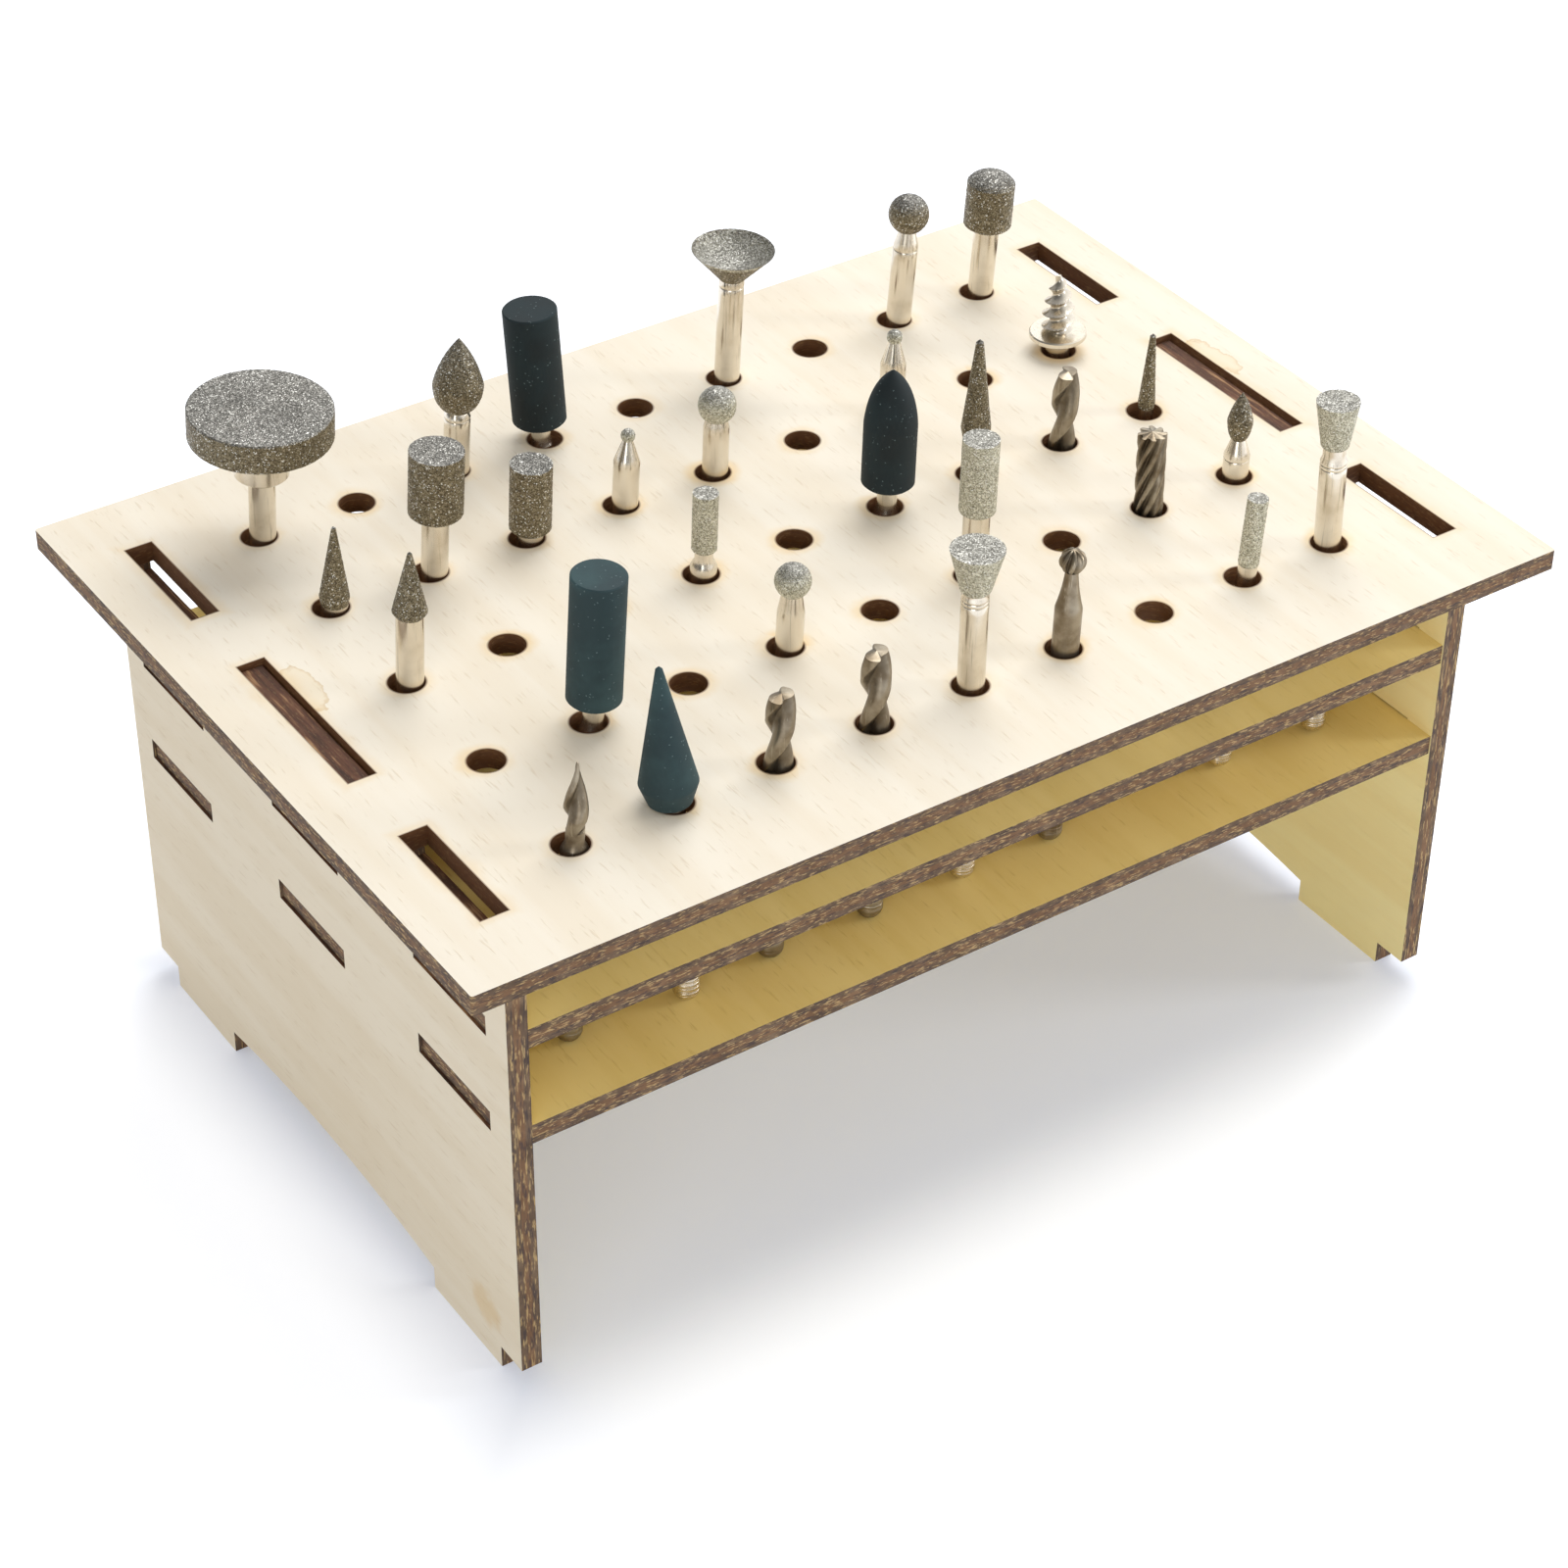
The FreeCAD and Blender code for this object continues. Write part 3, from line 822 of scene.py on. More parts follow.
@dataclass(frozen=True)
class Rubber:
    """Abrasive silicone rubber: cloudy blue-green with pale grains."""

    finish: Finish
    dark: Colour
    light: Colour
    grain: Colour = linear(140, 162, 164)
    grain_scale: float = 7000.0
    grain_level: float = 0.99

    def make(self, groups: Groups) -> bpy.types.Material:
        """Make the material.

        Args:
            groups: the shared node groups.

        Returns:
            The material.
        """
        material, graph, shader, place = new_material(self.finish.value)
        grains = {"Vector": place, "Scale": self.grain_scale, "Level": self.grain_level}
        mask = graph.place(groups.speckle, grains).outputs["Mask"]
        cloud = graph.noise(place, 160.0, 4.0)
        tone = graph.mix(graph.smooth(cloud, 0.35, 0.7), self.dark, self.light)
        shader.inputs["Specular IOR Level"].default_value = 0.35
        graph.fill(shader, {"Base Color": graph.tint(tone, mask, 0.3, self.grain),
                            "Roughness": graph.plus(0.62, graph.times(cloud, 0.2))})
        graph.bump(shader, graph.noise(place, 5200.0, 2.0), 0.25, 0.05 * MM)
        return material


PLYWOODS = (
    Plywood(Sheet.TOP, linear(247, 238, 221), linear(240, 226, 202), linear(208, 182, 144)),
    Plywood(Sheet.PANEL, linear(249, 236, 212), linear(240, 223, 193), linear(212, 186, 146),
            strokes=(5000.0, 1050.0, 650.0)),
    # Shelves: yellow tones over the veneer that paint the bounce light between the sheets.
    Plywood(Sheet.SHELF, linear(249, 225, 151), linear(237, 209, 127), linear(204, 172, 98)),
)
TOOL_FINISHES = (
    Grit(Finish.GRIT, (linear(66, 57, 40), linear(107, 96, 71), linear(166, 154, 126)),
         (linear(64, 62, 57), linear(102, 100, 94), linear(178, 175, 168))),
    Grit(Finish.BRIGHT_GRIT, (linear(122, 117, 98), linear(180, 176, 154), linear(236, 233, 216)),
         (linear(92, 90, 83), linear(138, 136, 128), linear(200, 198, 189))),
    Metal(Finish.NICKEL, linear(226, 218, 203), linear(202, 190, 170), linear(104, 90, 70), patch=(0.4, 0.85),
          rough=(0.18, 0.10), metallic=1.0, lines=0.05, hollow_shade_share=0.25),
    Metal(Finish.STEEL, linear(160, 150, 132), linear(118, 104, 84), linear(186, 178, 160), patch=(0.35, 0.7),
          rough=(0.26, 0.2), metallic=0.9, lines=0.2, scratched=0.5),
    Rubber(Finish.RUBBER, linear(17, 29, 32), linear(26, 42, 46)),
    Rubber(Finish.BRIGHT_RUBBER, linear(38, 58, 62), linear(54, 78, 81)),
)


class Materials:
    """Every material of the stand and its tools, made once."""

    def __init__(self, groups: Groups) -> None:
        """Make the materials from the shared groups."""
        self.sheets = {plywood.sheet: plywood.make(groups) for plywood in PLYWOODS}
        self.tools = {finish.finish: finish.make(groups) for finish in TOOL_FINISHES}


class Profile:
    """Outline of a turned form: rows of diameter and height in millimetres above the plate."""

    def __init__(self, *stations: Station) -> None:
        """Start with rows of diameter and height."""
        self.rows: List[Station] = list(stations)

    def to(self, diameter: float, height: float) -> "Profile":
        """Straight stretch to a diameter at a height."""
        self.rows.append((diameter, height))
        return self

    def curve(self, through: Station, end: Station, steps: int = 14) -> "Profile":
        """Parabola from the last row through a middle point to an end.

        Args:
            through: the point at half of the parameter.
            end: the last point.
            steps: how many stretches it is drawn with.

        Returns:
            This profile.
        """
        first, middle, last = (np.array(p) for p in (self.rows[-1], through, end))
        control = 2 * middle - (first + last) / 2
        share = np.linspace(0, 1, steps + 1)[1:, None]
        points = (1 - share) ** 2 * first + 2 * share * (1 - share) * control + share ** 2 * last
        self.rows.extend(map(tuple, points))
        return self

    def ball(self, centre: float, diameter: float, steps: int = 28) -> "Profile":
        """Round from the last row's diameter over the top of a ball to the axis.

        Args:
            centre: height of the ball's centre.
            diameter: the ball's diameter.
            steps: how many stretches it is drawn with.

        Returns:
            This profile.
        """
        start = math.asin(min(self.rows[-1][0] / diameter, 1.0)) - math.pi / 2
        angle = np.linspace(start, math.pi / 2, steps + 1)[1:]
        self.rows.extend(zip(diameter * np.cos(angle), centre + diameter / 2 * np.sin(angle)))
        return self

    def sampled(self, step: float) -> np.ndarray:
        """Rows no further apart than a step, with every given row kept.

        Args:
            step: largest distance between rows in millimetres.

        Returns:
            Array of radius and height.
        """
        rows = np.array(self.rows, float) * (0.5, 1.0)
        spans = np.linalg.norm(np.diff(rows, axis=0), axis=1)
        pieces = [np.linspace(a, b, max(int(math.ceil(s / step)), 1), endpoint=False)
                  for a, b, s in zip(rows[:-1], rows[1:], spans) if s > 1e-6]
        return np.vstack(pieces + [rows[-1:]])


@dataclass(frozen=True)
class Axis:
    """Where a tool stands: the point of its axis at the plate's upper face, and its turn."""

    origin: np.ndarray
    turn: np.ndarray

    def place(self, points: np.ndarray) -> np.ndarray:
        """Carry points in millimetres above the plate into the row frame in metres."""
        return points * MM @ self.turn.T + self.origin


def turned(rows: np.ndarray, around: int, cut: Union[float, np.ndarray] = 0.0) -> np.ndarray:
    """Rings of a turned form: (r cos a, r sin a, h) over rows of radius r and height h and angles a.

    Args:
        rows: radius and height of each ring.
        around: points per ring.
        cut: share of the radius that is cut away, per row and point.

    Returns:
        Array of rings, points per ring and coordinates.
    """
    angle = np.linspace(0, FULL_TURN, around, endpoint=False)
    radius = rows[:, :1] * (1 - cut)
    height = np.broadcast_to(rows[:, 1:], (len(rows), around))
    return np.stack([radius * np.cos(angle), radius * np.sin(angle), height], -1)


def flute_depth(rows: np.ndarray, around: int, flutes: int, lead: float) -> np.ndarray:
    """Depth of helical flutes: a steep face, a long rounded back and a narrow land in each share of a turn.

    Args:
        rows: radius and height of the uncut form.
        around: points per ring.
        flutes: how many flutes run round it.
        lead: height in which a flute winds once round.

    Returns:
        Depth from 0 on the lands to 1 in the flutes, per row and point.
    """
    face, back, land_start = 0.16, 0.60, 0.84
    turn = np.arange(around) / around - rows[:, 1:] / lead
    share = (turn * flutes) % 1.0
    level = np.minimum(np.clip(share / face, 0, 1), np.clip((land_start - share) / back, 0, 1))
    return level * level * (3 - 2 * level)


def ring_mesh(name: str, rings: np.ndarray, smooth: bool, hollow: Optional[np.ndarray] = None) -> Piece:
    """Closed mesh from rings of points; the first and last ring each shrink to one point.

    Args:
        name: the object's name.
        rings: array of rings, points per ring and coordinates, in metres.
        smooth: whether its faces shade smoothly.
        hollow: depth of the cut at each point as a share of the deepest, kept as an attribute.

    Returns:
        The new object, at the origin.
    """
    count, around = rings.shape[0] - 2, rings.shape[1]
    points = np.vstack([rings[0].mean(0)[None], rings[1:-1].reshape(-1, 3), rings[-1].mean(0)[None]])
    column = np.arange(around)
    after = (column + 1) % around
    base = 1 + np.arange(count - 1)[:, None] * around
    above = base + around
    quads = np.stack([base + column, base + after, above + after, above + column], -1).reshape(-1, 4)
    top = 1 + (count - 1) * around
    low_fan = np.stack([np.zeros(around, int), 1 + after, 1 + column], -1)
    high_fan = np.stack([top + column, top + after, np.full(around, len(points) - 1)], -1)
    loops = np.concatenate([quads.ravel(), low_fan.ravel(), high_fan.ravel()]).astype(np.int32)
    sizes = np.concatenate([np.full(len(quads), 4), np.full(2 * around, 3)]).astype(np.int32)
    mesh = bpy.data.meshes.new(name)
    mesh.vertices.add(len(points))
    mesh.vertices.foreach_set("co", points.astype(np.float32).ravel())
    mesh.loops.add(len(loops))
    mesh.loops.foreach_set("vertex_index", loops)
    mesh.polygons.add(len(sizes))
    mesh.polygons.foreach_set("loop_start", np.concatenate([[0], np.cumsum(sizes)[:-1]]).astype(np.int32))
    mesh.polygons.foreach_set("use_smooth", np.full(len(sizes), smooth))
    mesh.update(calc_edges=True)
    mesh.validate()
    if smooth:
        mesh.set_sharp_from_angle(angle=SHARP_ANGLE)
    if hollow is not None:
        depth = np.concatenate([[0.0], hollow[1:-1].ravel(), [0.0]]).astype(np.float32)
        mesh.attributes.new(HOLLOW, "FLOAT", "POINT").data.foreach_set("value", depth)
    piece = bpy.data.objects.new(name, mesh)
    bpy.context.scene.collection.objects.link(piece)
    return piece


@dataclass
class Tool:
    """One tool that stands in the stand. Sizes are in millimetres, heights above the plate's upper face."""

    name: str
    shank: float = 3.175
    chamfer: float = 0.3
    mark_half: float = 0.12
    mark_depth: float = 0.13
    stem_step: float = 0.8
    stem_around: int = 48
    head_step: float = 0.13
    head_around: Tuple[int, int] = (40, 420)
    head_finish: Finish = Finish.GRIT
    grit_height: float = 0.016

    def __post_init__(self) -> None:
        """Start without a place; locate reads it from the frame."""
        self.depth = 0.0
        self.axis: Optional[Axis] = None

    def nodes(self) -> List[str]:
        """CAD nodes that this tool's pieces stand for."""
        return [self.name]

    def locate(self, frame: Dict, plate_top: float) -> None:
        """Read the axis from the tool's joint and the middle of its shank.

        Args:
            frame: the loaded frame.
            plate_top: height of the plate's upper face.
        """
        plain_shank = 20 * MM
        joint = next(j for j in frame["joints"] if j["name"] == self.name + "_lift")
        along = np.array(joint["axis"], float)
        along /= np.linalg.norm(along)
        turn = np.array(Vector((0, 0, 1)).rotation_difference(Vector(along)).to_matrix())
        mesh = frame["nodes"][self.nodes()[0]].data
        points = np.empty(len(mesh.vertices) * 3)
        mesh.vertices.foreach_get("co", points)
        local = points.reshape(-1, 3) @ turn
        lowest = local[:, 2].min()
        shank = local[local[:, 2] < lowest + plain_shank]
        middle = (shank[:, :2].min(0) + shank[:, :2].max(0)) / 2
        self.depth = (plate_top - points.reshape(-1, 3)[:, 2].min()) / MM
        self.axis = Axis(np.array([*middle, lowest + self.depth * MM]) @ turn.T, turn)

    def stem(self) -> Profile:
        """Shank from its rounded lower end up to the head."""
        raise NotImplementedError

    def head(self) -> Profile:
        """Head from the axis at its base to the axis at its top."""
        raise NotImplementedError

    def shank_to(self, shoulder: float, marks: Sequence[float] = ()) -> Profile:
        """Rounded end and straight shank up to a shoulder.

        Args:
            shoulder: height at which the shank ends.
            marks: how far below the shoulder each turned ring mark runs, lowest first.

        Returns:
            The profile so far.
        """
        radius = self.shank / 2
        angle = np.linspace(-math.pi / 2, 0, 9)
        outline = Profile(*zip(self.shank * np.cos(angle), radius - self.depth + radius * np.sin(angle)))
        for below in marks:
            middle = shoulder - below
            outline.to(self.shank, middle - self.mark_half).to(self.shank - self.mark_depth, middle)
            outline.to(self.shank, middle + self.mark_half)
        return outline.to(self.shank, shoulder)

    def necked(self, shoulder: float, neck: float, base: float, marks: Sequence[float] = ()) -> Profile:
        """Shank, a short step at the shoulder and a straight neck up to the head's base.

        Args:
            shoulder: height at which the shank ends.
            neck: diameter of the neck.
            base: height at which the neck ends.
            marks: how far below the shoulder each turned ring mark runs, lowest first.

        Returns:
            The profile of the stem.
        """
        outline = self.shank_to(shoulder, marks).to(neck, shoulder + abs(self.shank - neck))
        return outline.to(neck, base).to(0, base)

    def tapered(self, shoulder: float, neck: float, base: float, marks: Sequence[float] = ()) -> Profile:
        """Shank and a neck that tapers from the shoulder to the head's base."""
        return self.shank_to(shoulder, marks).to(neck, base).to(0, base)

    def head_rings(self, rng: np.random.Generator) -> Tuple[np.ndarray, Optional[np.ndarray]]:
        """Rings of the head; a gritty head is roughened by chance, less where the rings close in.

        Args:
            rng: seeded source of the grit's roughness.

        Returns:
            The rings in millimetres, and no cuts.
        """
        rows = self.head().sampled(self.head_step)
        around = int(np.clip(FULL_TURN * rows[:, 0].max() / self.head_step, *self.head_around))
        rings = turned(rows, around)
        if self.head_finish.gritty:
            most = 2 * self.grit_height
            rough = np.clip(rng.normal(0, self.grit_height, rings.shape), -most, most)
            room = np.clip(2 * FULL_TURN * rows[:, 0] / around / self.head_step, 0, 1)
            rings = rings + rough * room[:, None, None]
        return rings, None

    def build(self, materials: Materials, rng: np.random.Generator) -> List[Piece]:
        """Make, dress and mount the tool's pieces.

        Args:
            materials: the finishes.
            rng: seeded source of the grit's roughness.

        Returns:
            The stem and the head.
        """
        stem_rings = turned(self.stem().sampled(self.stem_step), self.stem_around)
        stem = ring_mesh(self.name + "_stem", self.axis.place(stem_rings), True)
        rings, hollow = self.head_rings(rng)
        head = ring_mesh(self.name + "_head", self.axis.place(rings), not self.head_finish.gritty, hollow)
        stem.data.materials.append(materials.tools[self.stem_finish()])
        head.data.materials.append(materials.tools[self.head_finish])
        self.mount(stem, head)
        return [stem, head]

    def stem_finish(self) -> Finish:
        """Finish of the shank."""
        return Finish.STEEL if self.head_finish is Finish.STEEL else Finish.NICKEL

    def mount(self, stem: Piece, head: Piece) -> None:
        """Ride the pieces on the tool's body and hide the CAD nodes that they stand for.

        Args:
            stem, head: the tool's pieces.
        """
        for piece in (stem, head):
            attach(piece, self.name + "_body")
            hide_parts(*self.nodes())


@dataclass
class CylinderBurr(Tool):
    """Gritty cylinder with a flat or a domed top."""

    diameter: float = 4.0
    base: float = 2.0
    top: float = 10.0
    neck: float = 3.175
    shoulder: float = 0.0
    dome: float = 0.0

    def stem(self) -> Profile:
        """Shank and neck."""
        return self.necked(self.shoulder, self.neck, self.base)

    def head(self) -> Profile:
        """Chamfered cylinder.

        Returns:
            The outline.
        """
        foot = max(self.diameter - 2 * self.chamfer, self.neck)
        outline = Profile((0, self.base), (foot, self.base), (self.diameter, self.base + self.chamfer))
        outline.to(self.diameter, self.top - self.dome)
        if self.dome > 0:
            return outline.curve((self.diameter * 0.6, self.top - self.dome * 0.3), (0, self.top))
        return outline.to(0, self.top)


@dataclass
class InvertedConeBurr(Tool):
    """Gritty cone that widens to a flat top."""

    diameter: float = 6.0
    foot: float = 3.5
    base: float = 12.0
    top: float = 18.0
    neck: float = 2.8
    shoulder: float = 11.0
    marks: Tuple[float, ...] = (0.8, 0.3)

    def stem(self) -> Profile:
        """Shank with ring marks and a neck."""
        return self.necked(self.shoulder, self.neck, self.base, self.marks)

    def head(self) -> Profile:
        """Flaring cone."""
        foot = Profile((0, self.base), (self.neck, self.base), (self.foot, self.base + self.chamfer))
        return foot.to(self.diameter, self.top).to(0, self.top)


@dataclass
class BallBurr(Tool):
    """Ball on a tapered neck."""

    ball: float = 4.0
    centre: float = 9.0
    neck: float = 2.4
    shoulder: float = 5.0
    marks: Tuple[float, ...] = ()

    def meet(self) -> float:
        """Height at which the neck meets the ball."""
        return self.centre - math.sqrt(self.ball ** 2 - self.neck ** 2) / 2

    def stem(self) -> Profile:
        """Shank and tapered neck."""
        return self.tapered(self.shoulder, self.neck, self.meet(), self.marks)

    def head(self) -> Profile:
        """Ball above the neck."""
        return Profile((0, self.meet()), (self.neck, self.meet())).ball(self.centre, self.ball)


@dataclass
class ConeBurr(Tool):
    """Gritty cone or needle with a blunt tip."""

    diameter: float = 4.0
    base: float = 9.0
    widest: float = 10.0
    top: float = 17.0
    tip: float = 0.5
    neck: float = 3.175
    shoulder: float = 0.0

    def stem(self) -> Profile:
        """Shank and neck."""
        return self.necked(self.shoulder, self.neck, self.base)

    def head(self) -> Profile:
        """Short flare and long taper."""
        outline = Profile((0, self.base), (self.neck, self.base), (self.diameter, self.widest))
        return outline.to(self.tip, self.top - self.tip / 2).to(0, self.top)


@dataclass
class FlameBurr(Tool):
    """Pear-shaped gritty head with a drawn-out point."""

    diameter: float = 6.0
    base: float = 8.6
    widest: float = 12.0
    top: float = 18.0
    neck: float = 2.4
    shoulder: float = 8.0
    marks: Tuple[float, ...] = (0.4,)

    def stem(self) -> Profile:
        """Shank with a ring mark and a tapered neck."""
        return self.tapered(self.shoulder, self.neck, self.base, self.marks)

    def head(self) -> Profile:
        """Round below, pointed above.

        Returns:
            The outline.
        """
        belly = (self.diameter * 0.84, self.base + (self.widest - self.base) * 0.38)
        flank = (self.diameter * 0.62, self.widest + (self.top - self.widest) * 0.52)
        outline = Profile((0, self.base), (self.neck, self.base))
        return outline.curve(belly, (self.diameter, self.widest)).curve(flank, (0, self.top))


@dataclass
class WheelBurr(Tool):
    """Flat gritty wheel on a stepped collar."""

    diameter: float = 17.0
    base: float = 14.0
    top: float = 17.7
    collar: float = 6.4
    collar_base: float = 8.6

    def stem(self) -> Profile:
        """Shank and collar with a small lead-in.

        Returns:
            The outline.
        """
        outline = self.shank_to(self.collar_base).to(self.collar - 2 * self.chamfer, self.collar_base)
        outline.to(self.collar, self.collar_base + self.chamfer)
        return outline.to(self.collar, self.base).to(0, self.base)

    def head(self) -> Profile:
        """Wheel with softened edges.

        Returns:
            The outline.
        """
        edge = self.chamfer / 2
        flat = self.diameter - 2 * edge
        outline = Profile((0, self.base), (flat, self.base), (self.diameter, self.base + edge))
        return outline.to(self.diameter, self.top - edge).to(flat, self.top).to(0, self.top)


@dataclass
class CupBurr(Tool):
    """Flaring gritty cup with a dished top."""

    rim: float = 10.0
    base: float = 14.2
    top: float = 18.2
    neck: float = 3.0
    dish: float = 2.6
    shoulder: float = 13.8
    marks: Tuple[float, ...] = (0.5,)
    # Normal Z above which a dish face takes the bright grit: painted light.
    lit_dish_facing: float = 0.1

    def stem(self) -> Profile:
        """Shank with a ring mark and a short neck."""
        return self.tapered(self.shoulder, self.neck, self.base, self.marks)

    def head(self) -> Profile:
        """Flare, rim and dish."""
        outline = Profile((0, self.base), (self.neck, self.base), (self.rim, self.top))
        return outline.curve((self.rim * 0.55, self.top - self.dish * 0.72), (0, self.top - self.dish), 20)

    def build(self, materials: Materials, rng: np.random.Generator) -> List[Piece]:
        """Make the pieces, with the bright grit on the dish's upward faces as painted light.

        Args:
            materials: the finishes.
            rng: seeded source of the grit's roughness.

        Returns:
            The stem and the head.
        """
        stem, head = super().build(materials, rng)
        head.data.materials.append(materials.tools[Finish.BRIGHT_GRIT])
        normals = np.empty(len(head.data.polygons) * 3)
        head.data.polygons.foreach_get("normal", normals)
        # Upward faces of the dish take the bright grit: painted light.
        dished = normals[2::3] > self.lit_dish_facing
        head.data.polygons.foreach_set("material_index", dished.astype(np.int32))
        return [stem, head]


@dataclass
class FlutedCutter(Tool):
    """Steel cutter with helical flutes; the groove is a share of the radius."""

    head_finish: Finish = Finish.STEEL
    diameter: float = 3.3
    base: float = -0.8
    top: float = 9.5
    flutes: int = 2
    groove: float = 0.52
    lead: float = 14.0
    around: int = 192

    def stem(self) -> Profile:
        """Shank up to the flutes."""
        return self.shank_to(self.base).to(0, self.base)

    def head(self) -> Profile:
        """Uncut cylinder with a ground end."""
        edge = self.top - self.diameter * 0.08
        return Profile((0, self.base), (self.diameter, self.base), (self.diameter, edge), (0, self.top))

    def head_rings(self, rng: np.random.Generator) -> Tuple[np.ndarray, Optional[np.ndarray]]:
        """Flutes wound round the uncut head.

        Args:
            rng: not drawn from.

        Returns:
            The rings in millimetres and the depth of the flutes.
        """
        rows = self.head().sampled(self.head_step)
        depth = flute_depth(rows, self.around, self.flutes, self.lead)
        return turned(rows, self.around, self.groove * depth), depth


@dataclass
class StepCutter(FlutedCutter):
    """Fluted countersink drawn out to a sharp point."""

    widest: float = 3.8
    tip: float = 0.3
    neck: float = 2.1
    shoulder: float = -0.6

    def stem(self) -> Profile:
        """Shank and thin neck."""
        return self.necked(self.shoulder, self.neck, self.base)

    def head(self) -> Profile:
        """Short body and long taper.

        Returns:
            The outline.
        """
        outline = Profile((0, self.base), (self.diameter * 0.85, self.base), (self.diameter, self.widest))
        middle = (self.diameter * 0.58 + self.tip * 0.45, (self.widest + self.top) / 2)
        return outline.curve(middle, (self.tip, self.top)).to(0, self.top)


@dataclass
class RoundCutter(FlutedCutter):
    """Fluted ball on a long tapered neck."""

    ball: float = 3.1
    centre: float = 11.8
    neck: float = 1.5
    shoulder: float = 5.6

    def meet(self) -> float:
        """Height at which the neck meets the ball."""
        return self.centre - math.sqrt(self.ball ** 2 - self.neck ** 2) / 2

    def stem(self) -> Profile:
        """Shank and neck that curves in."""
        middle = (self.shank * 0.66, (self.shoulder + self.meet()) / 2)
        return self.shank_to(self.shoulder).curve(middle, (self.neck, self.meet())).to(0, self.meet())

    def head(self) -> Profile:
        """Uncut ball."""
        return Profile((0, self.meet()), (self.neck, self.meet())).ball(self.centre, self.ball)


@dataclass
class ScrewMandrel(Tool):
    """Flange with a tapered coarse screw for a felt bob; the thread's depth is a share of the radius."""

    head_finish: Finish = Finish.NICKEL
    head_step: float = 0.07
    flange: float = 7.2
    flange_base: float = 2.1
    flange_top: float = 2.9
    flange_edge: float = 0.15
    thread: float = 4.2
    thread_depth: float = 0.5
    thread_bow: float = 0.55
    pitch: float = 1.75
    around: int = 96
    top: float = 10.7
    tip: float = 0.8

    def stem(self) -> Profile:
        """Shank and flange with a soft rim.

        Returns:
            The outline.
        """
        edge, flat = self.flange_edge, self.flange - 2 * self.flange_edge
        outline = self.shank_to(self.flange_base).to(flat, self.flange_base)
        outline.to(self.flange, self.flange_base + edge).to(self.flange, self.flange_top - edge)
        return outline.to(flat, self.flange_top).to(0, self.flange_top)

    def head(self) -> Profile:
        """Crest line of the screw.

        Returns:
            The outline.
        """
        outline = Profile((0, self.flange_top), (self.thread, self.flange_top))
        middle = (self.thread * 0.86, self.flange_top + (self.top - self.flange_top) * 0.55)
        return outline.curve(middle, (self.tip, self.top), 30).to(0, self.top)

    def head_rings(self, rng: np.random.Generator) -> Tuple[np.ndarray, Optional[np.ndarray]]:
        """One-start thread: the radius dips between crests by the cosine of height over pitch less the angle.

        Args:
            rng: not drawn from.

        Returns:
            The rings in millimetres and the depth of the thread.
        """
        rows = self.head().sampled(self.head_step)
        turn = np.arange(self.around) / self.around
        phase = FULL_TURN * ((rows[:, 1:] - self.flange_top) / self.pitch - turn)
        depth = (0.5 - 0.5 * np.cos(phase)) ** self.thread_bow
        return turned(rows, self.around, self.thread_depth * depth), depth


@dataclass
class Polisher(Tool):
    """Rubber head on a thin mandrel; a plain cylinder unless a nose or a foot is given."""

    head_finish: Finish = Finish.RUBBER
    head_step: float = 0.3
    diameter: float = 6.4
    base: float = 3.2
    top: float = 19.0
    mandrel: float = 2.4
    mandrel_base: float = -0.05
    nose: float = 0.0
    foot: float = 0.0
    tip: float = 0.8

    def nodes(self) -> List[str]:
        """Mandrel and rubber."""
        return [self.name + "_mandrel", self.name + "_rubber"]

    def stem(self) -> Profile:
        """Shank and thin mandrel."""
        shoulder = self.mandrel_base - (self.shank - self.mandrel)
        return self.necked(shoulder, self.mandrel, self.base)

    def head(self) -> Profile:
        """Rubber outline with softened edges.

        Returns:
            The outline.
        """
        edge = self.chamfer
        if self.foot > 0:
            outline = Profile((0, self.base), (self.foot, self.base), (self.diameter, self.nose))
            return outline.to(self.tip, self.top - self.tip / 2).to(0, self.top)
        flat = self.diameter - 2 * edge
        outline = Profile((0, self.base), (flat, self.base), (self.diameter, self.base + edge))
        if self.nose > 0:
            outline.to(self.diameter, self.nose)
            middle = (self.diameter * 0.68, self.nose + (self.top - self.nose) * 0.62)
            return outline.curve(middle, (0, self.top), 22)
        outline.to(self.diameter, self.top - edge / 2).to(self.diameter - edge, self.top)
        return outline.to(0, self.top)

    def mount(self, stem: Piece, head: Piece) -> None:
        """Ride the pieces on the tool's body; mandrel and rubber each stand for their own node.

        Args:
            stem, head: the tool's pieces.
        """
        for piece, node, slot in zip((stem, head), self.nodes(), ("mandrel_steel", "polisher_rubber")):
            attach(piece, self.name + "_body")
            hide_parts(node)


BRIGHT = {"head_finish": Finish.BRIGHT_GRIT}
PALE_RUBBER = {"head_finish": Finish.BRIGHT_RUBBER}


